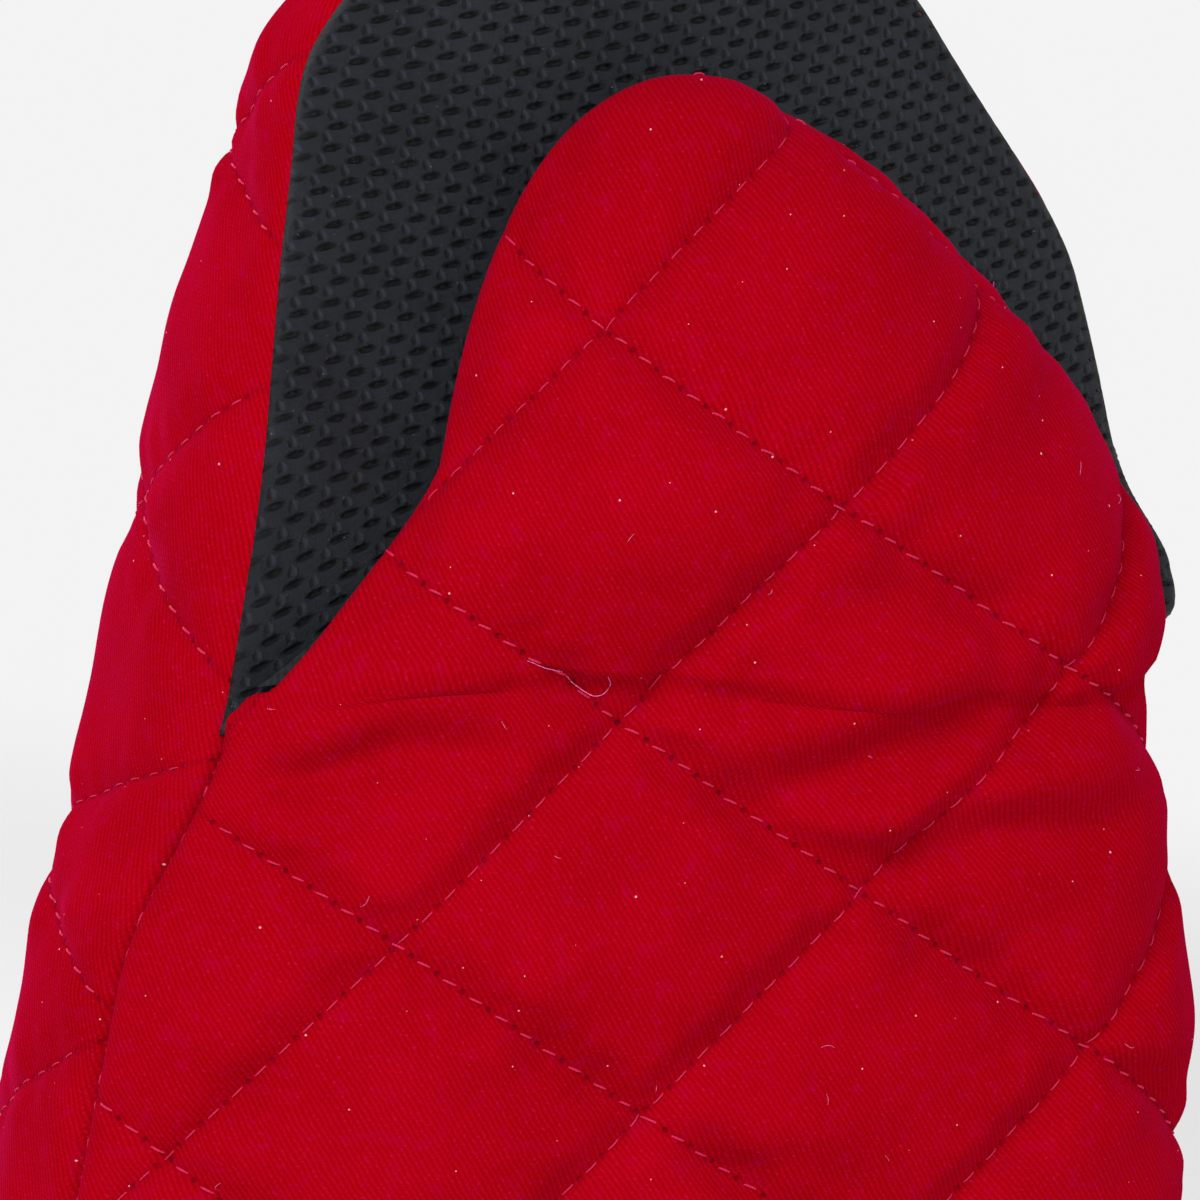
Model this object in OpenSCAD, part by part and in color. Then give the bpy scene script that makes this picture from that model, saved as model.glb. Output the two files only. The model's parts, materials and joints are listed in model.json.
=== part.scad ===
// Quilted oven mitt with an embossed grip palm, closed, standing on its cuff.
// Millimetres. Z runs up from the cuff rim to the fingertips; the thumb faces -Y.
// Every cloth panel is a stack of plies laid inward from one outer surface.

/* [Overall size] */
// Width across the cuff, over the two panels
mitt_w = 176; // [150:2:212]
// Height of the mouth corners, where thumb and fingers part
mouth_z = 200; // [166:2:240]
// Length of the finger half above the mouth corners
finger_len = 100; // [84:1:120]
// Length of the thumb half above the mouth corners
thumb_len = 78; // [65:1:94]
// How far the back stands out behind the middle of the cuff
back_depth = 36; // [30:1:43]
// How far the front stands out ahead of the middle of the cuff
front_depth = 40; // [34:1:48]
// How far the fingertips lean back
finger_lean = 22; // [18:1:26]

/* [Panel shapes] */
// Power of the rounded cross sections, 2 being an ellipse
section_power = 2.8; // [2.4:0.1:3.2]
// How bluntly the sides run together at the fingertips
side_round = 0.27; // [0.24:0.01:0.32]
// Degrees that the left side seam sits round towards the front
seam_l = 28; // [22:1:33]
// Degrees that the right side seam sits round towards the front
seam_r = 4; // [3:1:5]
// Crown of the finger grip ahead of its two seams
grip_crown = 8.5; // [7:0.5:10]
// Depth of the thumb half at the mouth line
thumb_root_depth = 15; // [13:0.5:18]
// Extra depth that the thumb half gains above the mouth line
thumb_swell = 13; // [11:0.5:15.5]
// Half width of the thumb half on its left side
thumb_left_w = 43; // [36:1:51]

/* [Cloth] */
// Thickness of the twill shell
shell_t = 0.6; // [0.5:0.05:0.75]
// Thickness of the batting
batting_t = 3.6; // [3:0.1:4.4]
// Thickness of the cotton lining
lining_t = 0.6; // [0.5:0.05:0.75]
// Thickness of the embossed grip sheet
grip_t = 3; // [2.5:0.1:3.6]
// Thickness of the knitted backing on the grip sheet
knit_t = 0.5; // [0.4:0.05:0.6]
// Thickness left in the batting and the grip sheet where a seam crushes them
seam_batting_t = 0.5; // [0.4:0.05:0.6]
// Width over which a padded panel thins towards its seam
seam_taper = 10; // [8:0.5:12]

/* [Stitching] */
// Distance between parallel quilting lines
quilt_pitch = 38; // [32:1:46]
// Radius of the quilting thread
quilt_thread_r = 0.3; // [0.25:0.05:0.4]
// Radius of the seam thread
seam_thread_r = 0.35; // [0.3:0.05:0.4]

/* [Cuff binding] */
// Height of the binding tape on the cuff
binding_h = 12; // [10:1:15]
// Thickness of the binding tape
binding_t = 1; // [0.8:0.1:1.2]

/* [Hanging loop] */
// Width of the loop tape
loop_w = 8; // [6.5:0.5:9.5]
// Thickness of the loop tape
loop_t = 1.4; // [1.2:0.1:1.7]
// Distance from the loop pivot to the middle of its eye
loop_len = 32; // [27:1:39]
// Inner radius of the loop eye
loop_eye_r = 8; // [6.5:0.5:10]
// Height of the middle of the loop tape
loop_z = 7; // [6:0.5:8.5]

/* [Label] */
// Width of the inside label along the cuff
label_w = 30; // [25:1:36]
// Height of the inside label
label_h = 34; // [28:1:40]

/* [Fits] */
// Gap between two plies of one panel
ply_gap = 0.1; // [0.08:0.02:0.14]
// Gap between the thumb grip and the finger grip while the mitt is closed
mouth_gap = 0.8; // [0.7:0.1:1]
// Distance from a seam line to the edge of a cloth panel
seam_edge = 0.5; // [0.45:0.05:0.6]
// Distance from a seam line to the edge of a grip panel
grip_edge = 3.6; // [3.3:0.1:4.2]
// Gap between the loop tape and the binding
loop_gap = 0.6; // [0.5:0.1:0.8]

/* [Hidden] */
mitt_h = mouth_z + finger_len;
thumb_z = mouth_z + thumb_len;
cloth_t = shell_t + batting_t + lining_t + 2 * ply_gap;
grip_all_t = grip_t + knit_t + lining_t + 2 * ply_gap;
rim_gap = 0.25;
plies_z = binding_t + rim_gap;
fold_depth = 5.6;
thumb_edge_lift = 3.2;
thumb_lift_v = 0.03;
flare_v = 0.34;
top_z = mitt_h - 0.05;
grip_top_z = mitt_h - 2.2;
thumb_v_end = 0.995;
fold_below = 0.7;
fold_above = 0.25;
fold_margin = 2.2;
fold_gap = 1;
fold_edge_t = 0.9;
grip_base_z = mouth_z + 2;
rows_power = 2.2;
step = 0.004;
loop_tip_x = mitt_w / 2 + rim_gap + binding_t + loop_gap + loop_t * 2.1 + loop_len + loop_eye_r;
place_x = (mitt_w / 2 + rim_gap + binding_t - loop_tip_x) / 2;
red = "#A60220";
dark_red = "#8C0118";
cream = "#EDE6DA";
black = "#2C2E34";
thread_red = "#C22740";

function smooth(t) = let (c = max(0, min(1, t))) c * c * (3 - 2 * c);
function mix(a, b, t) = a + (b - a) * t;
function curl(v, p) = sign(v) * pow(abs(v), p);
function unit(v) = v / norm(v);

// Size of the mitt at a height
function half_w(z) = mitt_w / 2 * pow(1 - pow(z / mitt_h, 1.5), side_round);
function mid_y(z) = finger_lean * smooth(2 * z / mitt_h - 1);
function back_d(z) = back_depth * sqrt(1 - pow(z / mitt_h, 4));
function front_d(z) = (front_depth + 0.6 * mid_y(z)) * sqrt(1 - pow(z / mitt_h, 5));
function seam_turn(seam, z) = seam * (1 - 0.5 * smooth(5 * z / mitt_h - 4));

// Point on the outline of the mitt at an angle from +X and a height
function ring(t, z) = [
    half_w(z) * curl(cos(t), 2 / section_power),
    mid_y(z) + (sin(t) < 0 ? front_d(z) : back_d(z)) * curl(sin(t), 2 / section_power),
    z
];
function left_seam(z) = ring(180 + seam_turn(seam_l, z), z);
function right_seam(z) = ring(-seam_turn(seam_r, z), z);
function front_y(x, z) = mid_y(z) - front_d(z)
    * pow(max(0, 1 - pow(min(1, abs(x) / half_w(z)), section_power)), 1 / section_power);

// Front face of the finger grip
function grip_y(x, z) = let (
    l = left_seam(z),
    r = right_seam(z),
    u = max(0, min(1, (x - l.x) / (r.x - l.x)))
) mix(l.y, r.y, u) - grip_crown * sqrt(1 - pow(z / mitt_h, 6)) * 4 * u * (1 - u);

// Outline of the thumb half, from the mouth corners to its tip
corner_l = left_seam(mouth_z);
corner_r = right_seam(mouth_z);
function thumb_l(v) = thumb_left_w * sqrt(1 - v * v)
    + (-corner_l.x - thumb_left_w) * pow(max(0, 1 - v / flare_v), 1.4);
function thumb_r(v) = corner_r.x * pow(1 - pow(v, 1.8), 0.75);
function thumb_d(v) = (thumb_root_depth + thumb_swell * smooth(v / 0.35)) * sqrt(1 - pow(v, 4));
function thumb_x(s, v) = s < 0 ? s * thumb_l(v) : s * thumb_r(v);
function thumb_gap(v) = mouth_gap * min(1, v * 12);
function thumb_crown(s) = sqrt(1 - pow(min(1, abs(s)), 2.4));
function root_gap(s) = let (x = s < 0 ? -s * corner_l.x : s * corner_r.x)
    grip_y(x, mouth_z) - front_y(x, mouth_z);
function thumb_depth_at(s, v) = thumb_edge_lift * min(1, v / thumb_lift_v)
    + thumb_d(v) * (1 - 0.07 * min(1, v / thumb_lift_v))
    * mix(root_gap(s) / thumb_root_depth, thumb_crown(s), smooth(v / 0.45));

// Outer face of the front panel, from the cuff to the tip of the thumb
function front_at(s, z) = z <= mouth_z
    ? let (x = s < 0 ? -s * left_seam(z).x : s * right_seam(z).x) [x, front_y(x, z), z]
    : let (v = (z - mouth_z) / thumb_len, x = thumb_x(s, v))
        [x, grip_y(x, z) - thumb_gap(v) - thumb_depth_at(s, v), z];
function hinge_y(x) = mix(corner_l.y, corner_r.y, (x - corner_l.x) / (corner_r.x - corner_l.x));
function reach(s) = let (p = front_at(s, mouth_z)) hinge_y(p.x) - p.y;
function fold_low(s) = mouth_z - fold_margin - fold_below * reach(s);
function fold_high(s) = mouth_z + fold_margin + fold_above * reach(s);

// Panel surfaces over the unit square, with u to the right of v seen from outside
function trim_at(t, turn) = let (
    a = ring(t, mouth_z * 0.6),
    b = ring(t + turn, mouth_z * 0.6),
    inset = seam_edge * abs(a.x - b.x) / norm(a - b)
) 1 - asin(1 - inset / abs(a.x)) / 90;
front_trim_l = trim_at(180 + seam_l, 1.5);
front_trim_r = trim_at(-seam_r, -1.5);
function front_s(u) = sin(90 * mix(front_trim_l - 1, 1 - front_trim_r, u));
function thumb_s(u) = sin(90 * mix(-0.988, 0.988, u));
function back_z(v) = plies_z + (top_z - plies_z) * (1 - pow(1 - v, rows_power));
function back_face(u, v) = let (
    z = back_z(v),
    arc = 2 * half_w(z) + back_d(z) + 2,
    trim = seam_edge / arc,
    start = -seam_turn(seam_r, z),
    end = 180 + seam_turn(seam_l, z)
) ring(mix(start, end, mix(trim, 1 - trim, u)), z);
function front_face(u, v) = let (s = front_s(u)) front_at(s, mix(plies_z, fold_low(s), v));
function fold_face(u, v) = let (s = front_s(u))
    front_at(s, mix(fold_low(s) + fold_gap, fold_high(s) - fold_gap, v));
function thumb_z_at(s, v) = mix(fold_high(s), mouth_z + thumb_v_end * thumb_len, 1 - pow(1 - v, 1.7));
function thumb_face(u, v) = let (s = thumb_s(u)) front_at(s, thumb_z_at(s, v));
// Sideways distance that keeps a grip panel its set distance from a slanting seam
function slant(high, low, rise) = grip_edge * sqrt(1 + pow((high - low) / rise, 2));
function grip_inset(seam, z) = min(abs(seam(z).x) / 2, slant(seam(z + 0.5).x, seam(z - 0.5).x, 1));
function thumb_inset(half, v) = min(half(v) / 2,
    slant(half(min(1, v + 0.01)), half(v - 0.01), 0.02 * thumb_len) + 4 * (1 - smooth(v / 0.25)));
function grip_face(u, v) = let (
    z = grip_base_z + (grip_top_z - grip_base_z) * (1 - pow(1 - v, 1.6)),
    l = left_seam(z).x + grip_inset(function(h) left_seam(h), z),
    r = right_seam(z).x - grip_inset(function(h) right_seam(h), z),
    x = mix(l, r, u)
) [x, grip_y(x, z), z];
function thumb_grip_face(u, v) = let (
    w = 1 - pow(1 - v, 1.6),
    z = mix(grip_base_z, mouth_z + thumb_v_end * thumb_len - grip_edge, w),
    t = (z - mouth_z) / thumb_len,
    l = thumb_inset(function(h) thumb_l(h), t) - thumb_l(t),
    r = thumb_r(t) - thumb_inset(function(h) thumb_r(h), t),
    x = mix(r, l, u)
) [x, grip_y(x, z) - mouth_gap, z];

// How fully a panel is padded at a point, from 0 at its seam to 1
function padded(d, z) = max(smooth(d / seam_taper), 1 - smooth((z - binding_h - 2) / 20));
function back_pad(u, v) = let (z = back_z(v), arc = 2 * half_w(z) + back_d(z))
    padded(min(min(u, 1 - u) * arc, mitt_h - z + back_d(z)), z);
function depth_pad(d) = max(0, min(1, (d - fold_depth) / (cloth_t + grip_all_t - 3)));
function front_pad(u, v) = let (s = front_s(u), z = mix(plies_z, fold_low(s), v))
    padded((1 - abs(s)) * half_w(z) + 0.5 * thumb_root_depth * thumb_crown(s), z);
function fold_pad(u, v) = depth_pad(root_gap(front_s(u)));
function thumb_pad(u, v) = let (
    s = thumb_s(u),
    t = (thumb_z_at(s, v) - mouth_z) / thumb_len,
    depth = thumb_depth_at(s, t)
) min(depth_pad(depth), smooth(((1 - abs(s)) * thumb_r(t) + 0.3 * (depth - thumb_edge_lift)) / seam_taper));
function grip_pad(u, v) = let (p = grip_face(u, v), l = left_seam(p.z).x, r = right_seam(p.z).x)
    smooth(min(p.x - l, r - p.x, mitt_h - p.z) / seam_taper);
function thumb_grip_pad(u, v) = let (
    p = thumb_grip_face(u, v),
    t = (p.z - mouth_z) / thumb_len,
    s = p.x < 0 ? p.x / thumb_l(t) : p.x / thumb_r(t)
) min(depth_pad(thumb_depth_at(s, t)),
    smooth(min(thumb_r(t) - p.x, p.x + thumb_l(t), thumb_z - p.z) / seam_taper));

// Outward normal of a face, and the point a given depth inside it
function normal_at(face, u, v) = let (
    a = face(min(1, u + step), v) - face(max(0, u - step), v),
    b = face(u, min(1, v + step)) - face(u, max(0, v - step))
) unit(cross(a, b));
function inside(face, u, v, d) = face(u, v) - d * normal_at(face, u, v);

// Middle of the whole mitt, hanging loop included, brought over the origin
front_reach = min([for (u = [0.2 : 0.1 : 0.9], v = [0 : 0.1 : 0.8]) thumb_face(u, v).y]);
back_reach = max([for (z = [0 : 10 : mitt_h - 10]) mid_y(z) + back_d(z)]);
module place() {
    translate([place_x, -(front_reach + back_reach) / 2, 0]) children();
}

// Faces of a closed slab made from two grids of points
function slab_faces(nu, nv) = let (
    row = nu + 1,
    layer = row * (nv + 1),
    at = function(l, i, j) l * layer + j * row + i,
    outer = [for (j = [0 : nv - 1], i = [0 : nu - 1], k = [0, 1]) k == 0
        ? [at(0, i, j), at(0, i, j + 1), at(0, i + 1, j + 1)]
        : [at(0, i, j), at(0, i + 1, j + 1), at(0, i + 1, j)]],
    inner = [for (j = [0 : nv - 1], i = [0 : nu - 1], k = [0, 1]) k == 0
        ? [at(1, i, j), at(1, i + 1, j + 1), at(1, i, j + 1)]
        : [at(1, i, j), at(1, i + 1, j), at(1, i + 1, j + 1)]],
    ends = [for (i = [0 : nu - 1], k = [0 : 3])
        k == 0 ? [at(0, i, 0), at(0, i + 1, 0), at(1, i + 1, 0)]
        : k == 1 ? [at(0, i, 0), at(1, i + 1, 0), at(1, i, 0)]
        : k == 2 ? [at(0, i, nv), at(1, i + 1, nv), at(0, i + 1, nv)]
        : [at(0, i, nv), at(1, i, nv), at(1, i + 1, nv)]],
    sides = [for (j = [0 : nv - 1], k = [0 : 3])
        k == 0 ? [at(0, 0, j), at(1, 0, j + 1), at(0, 0, j + 1)]
        : k == 1 ? [at(0, 0, j), at(1, 0, j), at(1, 0, j + 1)]
        : k == 2 ? [at(0, nu, j), at(0, nu, j + 1), at(1, nu, j + 1)]
        : [at(0, nu, j), at(1, nu, j + 1), at(1, nu, j)]]
) concat(outer, inner, ends, sides);

// One ply of a panel between two depths that may change over the panel
module ply(face, nu, nv, from, to) {
    points = [for (depth = [from, to], j = [0 : nv], i = [0 : nu])
        inside(face, i / nu, j / nv, depth(i / nu, j / nv))];
    polyhedron(points, slab_faces(nu, nv), convexity = 6);
}

// Shell, core and lining of one panel, picked by layer number
module panel_ply(face, pad, nu, nv, outer_t, core_t, layer) {
    core = function(u, v) seam_batting_t + (core_t - seam_batting_t) * pad(u, v);
    if (layer == 0)
        ply(face, nu, nv, function(u, v) 0, function(u, v) outer_t);
    if (layer == 1)
        ply(face, nu, nv, function(u, v) outer_t + ply_gap,
            function(u, v) outer_t + ply_gap + core(u, v));
    if (layer == 2)
        ply(face, nu, nv, function(u, v) outer_t + 2 * ply_gap + core(u, v),
            function(u, v) outer_t + 2 * ply_gap + core(u, v) + lining_t);
}

// Grip sheet, its knitted backing and its lining, picked by layer number
module grip_ply(face, pad, nu, nv, layer) {
    sheet = function(u, v) seam_batting_t + (grip_t - seam_batting_t) * pad(u, v);
    if (layer == 0)
        ply(face, nu, nv, function(u, v) 0, sheet);
    if (layer == 1)
        ply(face, nu, nv, function(u, v) sheet(u, v) + ply_gap,
            function(u, v) sheet(u, v) + ply_gap + knit_t);
    if (layer == 2)
        ply(face, nu, nv, function(u, v) sheet(u, v) + 2 * ply_gap + knit_t,
            function(u, v) sheet(u, v) + 2 * ply_gap + knit_t + lining_t);
}

// Thread laid along a path, four sided; side is a direction that it never runs along
module thread(path, r, side) {
    n = len(path);
    points = [for (i = [0 : n - 1]) let (
        t = unit(path[min(n - 1, i + 1)] - path[max(0, i - 1)]),
        a = unit(cross(t, side)),
        b = cross(t, a)
    ) each [path[i] + r * a, path[i] + r * b, path[i] - r * a, path[i] - r * b]];
    walls = [for (i = [0 : n - 2], k = [0 : 3]) let (m = (k + 1) % 4)
        each [[4 * i + k, 4 * i + 4 + k, 4 * i + 4 + m], [4 * i + k, 4 * i + 4 + m, 4 * i + m]]];
    last = 4 * (n - 1);
    polyhedron(points, concat(walls,
        [[0, 1, 2], [0, 2, 3], [last, last + 2, last + 1], [last, last + 3, last + 2]]),
        convexity = 6);
}

// Quilting lines over the part of a face that lies between two heights
module quilting(face, width, height, base_z, run, steps) {
    span = quilt_pitch * sqrt(2);
    count = ceil((width + height) / span);
    for (lean = [-1, 1], k = [-count : count]) {
        path = [for (i = [1 : steps - 1]) let (
            u = i / steps,
            z = (k + 0.35) * span + lean * (u - 0.5) * width,
            v = run(u, z)
        ) if (v > 0.03 && v < 0.97) inside(face, u, v, 0)];
        if (len(path) > 2) thread(path, quilt_thread_r, [0, 0, 1]);
    }
}

module back_part(layer) {
    panel_ply(function(u, v) back_face(u, v), function(u, v) back_pad(u, v),
        22, 16, shell_t, batting_t, layer);
}
module front_part(layer) {
    panel_ply(function(u, v) front_face(u, v), function(u, v) front_pad(u, v),
        18, 8, shell_t, batting_t, layer);
}
module thumb_part(layer) {
    panel_ply(function(u, v) thumb_face(u, v), function(u, v) thumb_pad(u, v),
        16, 9, shell_t, batting_t, layer);
}
module finger_grip_part(layer) {
    grip_ply(function(u, v) grip_face(u, v), function(u, v) grip_pad(u, v), 14, 10, layer);
}
module thumb_grip_part(layer) {
    grip_ply(function(u, v) thumb_grip_face(u, v), function(u, v) thumb_grip_pad(u, v), 14, 9, layer);
}

module back_shell() { place() color(red) back_part(0); }
module back_batting() { place() color(cream) back_part(1); }
module back_lining() { place() color(cream) back_part(2); }
module front_shell() { place() color(red) front_part(0); }
module front_batting() { place() color(cream) front_part(1); }
module front_lining() { place() color(cream) front_part(2); }
module thumb_shell() { place() color(red) thumb_part(0); }
module thumb_batting() { place() color(cream) thumb_part(1); }
module thumb_lining() { place() color(cream) thumb_part(2); }
module finger_grip() { place() color(black) finger_grip_part(0); }
module finger_grip_backing() { place() color(black) finger_grip_part(1); }
module finger_grip_lining() { place() color(cream) finger_grip_part(2); }
module thumb_grip() { place() color(black) thumb_grip_part(0); }
module thumb_grip_backing() { place() color(black) thumb_grip_part(1); }
module thumb_grip_lining() { place() color(cream) thumb_grip_part(2); }

// The bending zone of the front panel, all plies together
module front_fold() {
    total = function(u, v) mix(fold_edge_t, cloth_t, fold_pad(u, v));
    place() color(red) ply(function(u, v) fold_face(u, v), 18, 4, function(u, v) 0, total);
}

// The bend of the grip sheet along the bottom of the mouth
module mouth_fold() {
    turns = 6;
    stations = 14;
    inner_r = mouth_gap / 2;
    corner_trim = grip_edge + 4;
    points = [for (i = [0 : stations]) let (
        x = mix(corner_l.x + corner_trim, corner_r.x - corner_trim, i / stations),
        lean = atan(grip_y(x, grip_base_z + 1) - grip_y(x, grip_base_z)),
        across = [0, cos(lean), -sin(lean)],
        down = [0, -sin(lean), -cos(lean)],
        middle = [x, grip_y(x, grip_base_z) - inner_r, grip_base_z] + 0.2 * down,
        s = x < 0 ? -x / corner_l.x : x / corner_r.x,
        pad = depth_pad(root_gap(s)),
        outer_r = inner_r + seam_batting_t + knit_t + (grip_t - seam_batting_t) * pad
    ) each [for (side = [0, 1], k = [0 : turns]) let (
        a = side == 0 ? 180 * k / turns : 180 - 180 * k / turns,
        r = side == 0 ? outer_r : inner_r
    ) middle + r * cos(a) * across + r * sin(a) * down]];
    m = 2 * (turns + 1);
    walls = [for (i = [0 : stations - 1], k = [0 : m - 1]) let (n = (k + 1) % m)
        each [[i * m + k, i * m + n, i * m + m + n], [i * m + k, i * m + m + n, i * m + m + k]]];
    caps = [for (k = [0 : turns - 1]) let (b = m - 1 - k, e = stations * m)
        each [[k, b, k + 1], [k + 1, b, b - 1],
              [e + k, e + k + 1, e + b], [e + k + 1, e + b - 1, e + b]]];
    place() color(black) polyhedron(points, concat(walls, caps), convexity = 6);
}

// Seam threads
seam_rows = 16;
function seam_z(i) = mix(mouth_z + 1, top_z, 1 - pow(1 - i / seam_rows, rows_power));
module finger_seam_thread() {
    path = [
        for (i = [0 : seam_rows]) left_seam(seam_z(i)),
        for (i = [0 : seam_rows]) right_seam(seam_z(seam_rows - i))
    ];
    place() color(black) thread(path, seam_thread_r, [0, 1, 0]);
}
module thumb_seam_thread() {
    edge = function(side, i) let (
        v = mix(0.03, 0.999, 1 - pow(1 - i / seam_rows, 1.7)),
        x = thumb_x(side, v) + side * (seam_thread_r + 0.25),
        z = mouth_z + v * thumb_len
    ) [x, grip_y(x, z) - mouth_gap - thumb_edge_lift / 2, z];
    path = [
        for (i = [0 : seam_rows]) edge(-1, i),
        for (i = [0 : seam_rows]) edge(1, seam_rows - i)
    ];
    place() color(thread_red) thread(path, seam_thread_r, [0, 1, 0]);
}
module side_seam(seam) {
    low = binding_h + 1;
    path = [for (i = [0 : 10]) seam(mix(low, mouth_z - 3, i / 10))];
    place() color(thread_red) thread(path, seam_thread_r, [0, 1, 0]);
}
module left_seam_thread() { side_seam(function(z) left_seam(z)); }
module right_seam_thread() { side_seam(function(z) right_seam(z)); }

// Quilting threads
module back_quilting() {
    run = function(u, z) z < binding_h + 2 || z > mitt_h - 12 ? -1
        : 1 - pow(1 - (z - plies_z) / (top_z - plies_z), 1 / rows_power);
    place() color(thread_red) quilting(function(u, v) back_face(u, v), mitt_w * 1.35, mitt_h, 0, run, 26);
}
module front_quilting() {
    run = function(u, z) let (top = fold_low(front_s(u)))
        z < binding_h + 2 || z > top ? -1 : (z - plies_z) / (top - plies_z);
    place() color(thread_red) quilting(function(u, v) front_face(u, v), mitt_w * 1.1, mitt_h, 0, run, 26);
}
module thumb_quilting() {
    run = function(u, z) let (
        s = thumb_s(u),
        low = fold_high(s),
        high = mouth_z + thumb_v_end * thumb_len
    ) z < low || z > high ? -1 : 1 - pow(1 - (z - low) / (high - low), 1 / 1.7);
    place() color(thread_red) quilting(function(u, v) thumb_face(u, v), mitt_w * 0.8, mitt_h, 0, run, 26);
}

// Binding folded over the cuff, and its row of stitching
function rim(t, z, out) = let (
    p = ring(t, z),
    q = ring(t + 0.5, z) - ring(t - 0.5, z)
) p + out * unit([q.y, -q.x, 0]);
rim_steps = 48;
function rim_t(i) = 360 * i / rim_steps + 1.7;
module cuff_binding() {
    in = -(cloth_t + 2 * rim_gap);
    section = [
        [binding_t + rim_gap, 0], [binding_t + rim_gap, binding_h], [rim_gap, binding_h],
        [rim_gap, binding_t], [in, binding_t], [in, binding_h],
        [in - binding_t, binding_h], [in - binding_t, 0]
    ];
    m = len(section);
    points = [for (i = [0 : rim_steps - 1]) each [for (s = section) rim(rim_t(i), s.y, s.x)]];
    faces = [for (i = [0 : rim_steps - 1], k = [0 : m - 1]) let (
        a = i * m,
        b = (i + 1) % rim_steps * m,
        n = (k + 1) % m
    ) each [[a + k, b + k, b + n], [a + k, b + n, a + n]]];
    place() color(dark_red) polyhedron(points, faces, convexity = 8);
}
module binding_thread() {
    out = binding_t + rim_gap + quilt_thread_r + 0.05;
    path = [for (i = [0 : rim_steps - 3]) rim(rim_t(i + 1), binding_h - 2.5, out)];
    place() color(thread_red) thread(path, quilt_thread_r, [0, 0, 1]);
}

// Hanging loop, a tape teardrop that swings about its pivot by the right side seam
loop_root = [half_w(loop_z) + rim_gap + binding_t + loop_gap, mid_y(loop_z), loop_z];
pivot_inset = loop_t * 1.1;
module teardrop(r, root) {
    tip = asin((r - root) / loop_len);
    polygon([
        [0, -root], [loop_len + r * sin(tip), -r * cos(tip)],
        [loop_len + r * sin(tip), r * cos(tip)], [0, root]
    ]);
    translate([loop_len, 0]) circle(r, $fn = 48);
}
module hang_loop() {
    place() color(dark_red) translate(loop_root + [pivot_inset, 0, -loop_w / 2])
        linear_extrude(loop_w) difference() {
            union() {
                teardrop(loop_eye_r + loop_t, loop_t);
                circle(loop_t, $fn = 48);
            }
            translate([loop_t * 1.5, 0]) teardrop_eye();
        }
}
module teardrop_eye() {
    polygon([
        [loop_t, -0.15], [loop_len - loop_t * 1.5, -loop_eye_r],
        [loop_len - loop_t * 1.5, loop_eye_r], [loop_t, 0.15]
    ]);
    translate([loop_len - loop_t * 1.5, 0]) circle(loop_eye_r, $fn = 48);
}
module loop_bar_tack() {
    place() color(thread_red) for (side = [-1, 1])
        translate([half_w(loop_z) + rim_gap + binding_t + 0.3, mid_y(loop_z) + side * 2.6, loop_z])
            cube([0.5, 1, loop_w], center = true);
}

// Blank label sewn in at the left side seam, inside the cuff
module care_label() {
    depth = cloth_t + 2 * rim_gap + binding_t + 0.2;
    face = function(u, v) let (
        centre = 180 + seam_l * 0.4,
        half = label_w / back_depth * 12
    ) ring(mix(centre + half, centre - half, 1 - u), mix(binding_h / 2, binding_h / 2 + label_h, v));
    place() color(cream) ply(face, 6, 4, function(u, v) depth, function(u, v) depth + 0.4);
}

back_shell();
back_batting();
back_lining();
front_shell();
front_batting();
front_lining();
front_fold();
thumb_shell();
thumb_batting();
thumb_lining();
finger_grip();
finger_grip_backing();
finger_grip_lining();
thumb_grip();
thumb_grip_backing();
thumb_grip_lining();
mouth_fold();
finger_seam_thread();
thumb_seam_thread();
left_seam_thread();
right_seam_thread();
back_quilting();
front_quilting();
thumb_quilting();
cuff_binding();
binding_thread();
hang_loop();
loop_bar_tack();
care_label();
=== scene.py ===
"""A quilted oven mitt: red cotton twill panels, embossed grip sheets and a taped cuff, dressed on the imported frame."""
import json
import logging
import math
from dataclasses import dataclass, field
from enum import Enum
from typing import Any, Callable, Sequence

import bmesh
import bpy
import numpy as np
from mathutils import Matrix, Vector
from mathutils.kdtree import KDTree

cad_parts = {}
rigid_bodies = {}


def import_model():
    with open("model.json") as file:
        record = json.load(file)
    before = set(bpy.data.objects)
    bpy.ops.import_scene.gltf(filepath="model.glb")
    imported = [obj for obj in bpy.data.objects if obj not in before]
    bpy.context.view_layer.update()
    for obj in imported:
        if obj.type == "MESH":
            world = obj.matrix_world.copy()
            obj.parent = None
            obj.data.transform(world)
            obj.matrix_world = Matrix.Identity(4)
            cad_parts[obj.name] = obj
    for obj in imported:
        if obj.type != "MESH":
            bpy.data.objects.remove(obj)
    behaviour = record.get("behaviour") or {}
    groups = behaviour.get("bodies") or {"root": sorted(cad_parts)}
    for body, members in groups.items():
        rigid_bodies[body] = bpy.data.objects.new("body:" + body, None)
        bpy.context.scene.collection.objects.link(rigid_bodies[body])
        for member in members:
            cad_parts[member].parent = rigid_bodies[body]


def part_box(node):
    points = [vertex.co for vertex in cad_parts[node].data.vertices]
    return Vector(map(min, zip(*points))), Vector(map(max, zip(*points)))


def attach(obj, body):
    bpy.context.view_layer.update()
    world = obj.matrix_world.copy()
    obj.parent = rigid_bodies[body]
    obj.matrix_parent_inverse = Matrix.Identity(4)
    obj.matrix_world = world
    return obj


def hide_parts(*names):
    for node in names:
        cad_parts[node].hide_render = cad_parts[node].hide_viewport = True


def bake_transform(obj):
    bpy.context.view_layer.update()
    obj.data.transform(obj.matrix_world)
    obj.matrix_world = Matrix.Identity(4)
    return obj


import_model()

log = logging.getLogger("oven_mitt")
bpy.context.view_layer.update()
MM = 0.001


# ---------------------------------------------------------------------------------------------- small number helpers
def smooth(t: Any) -> Any:
    """Returns the smoothstep of t, held between 0 and 1."""
    c = np.clip(t, 0.0, 1.0)
    return c * c * (3.0 - 2.0 * c)


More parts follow.
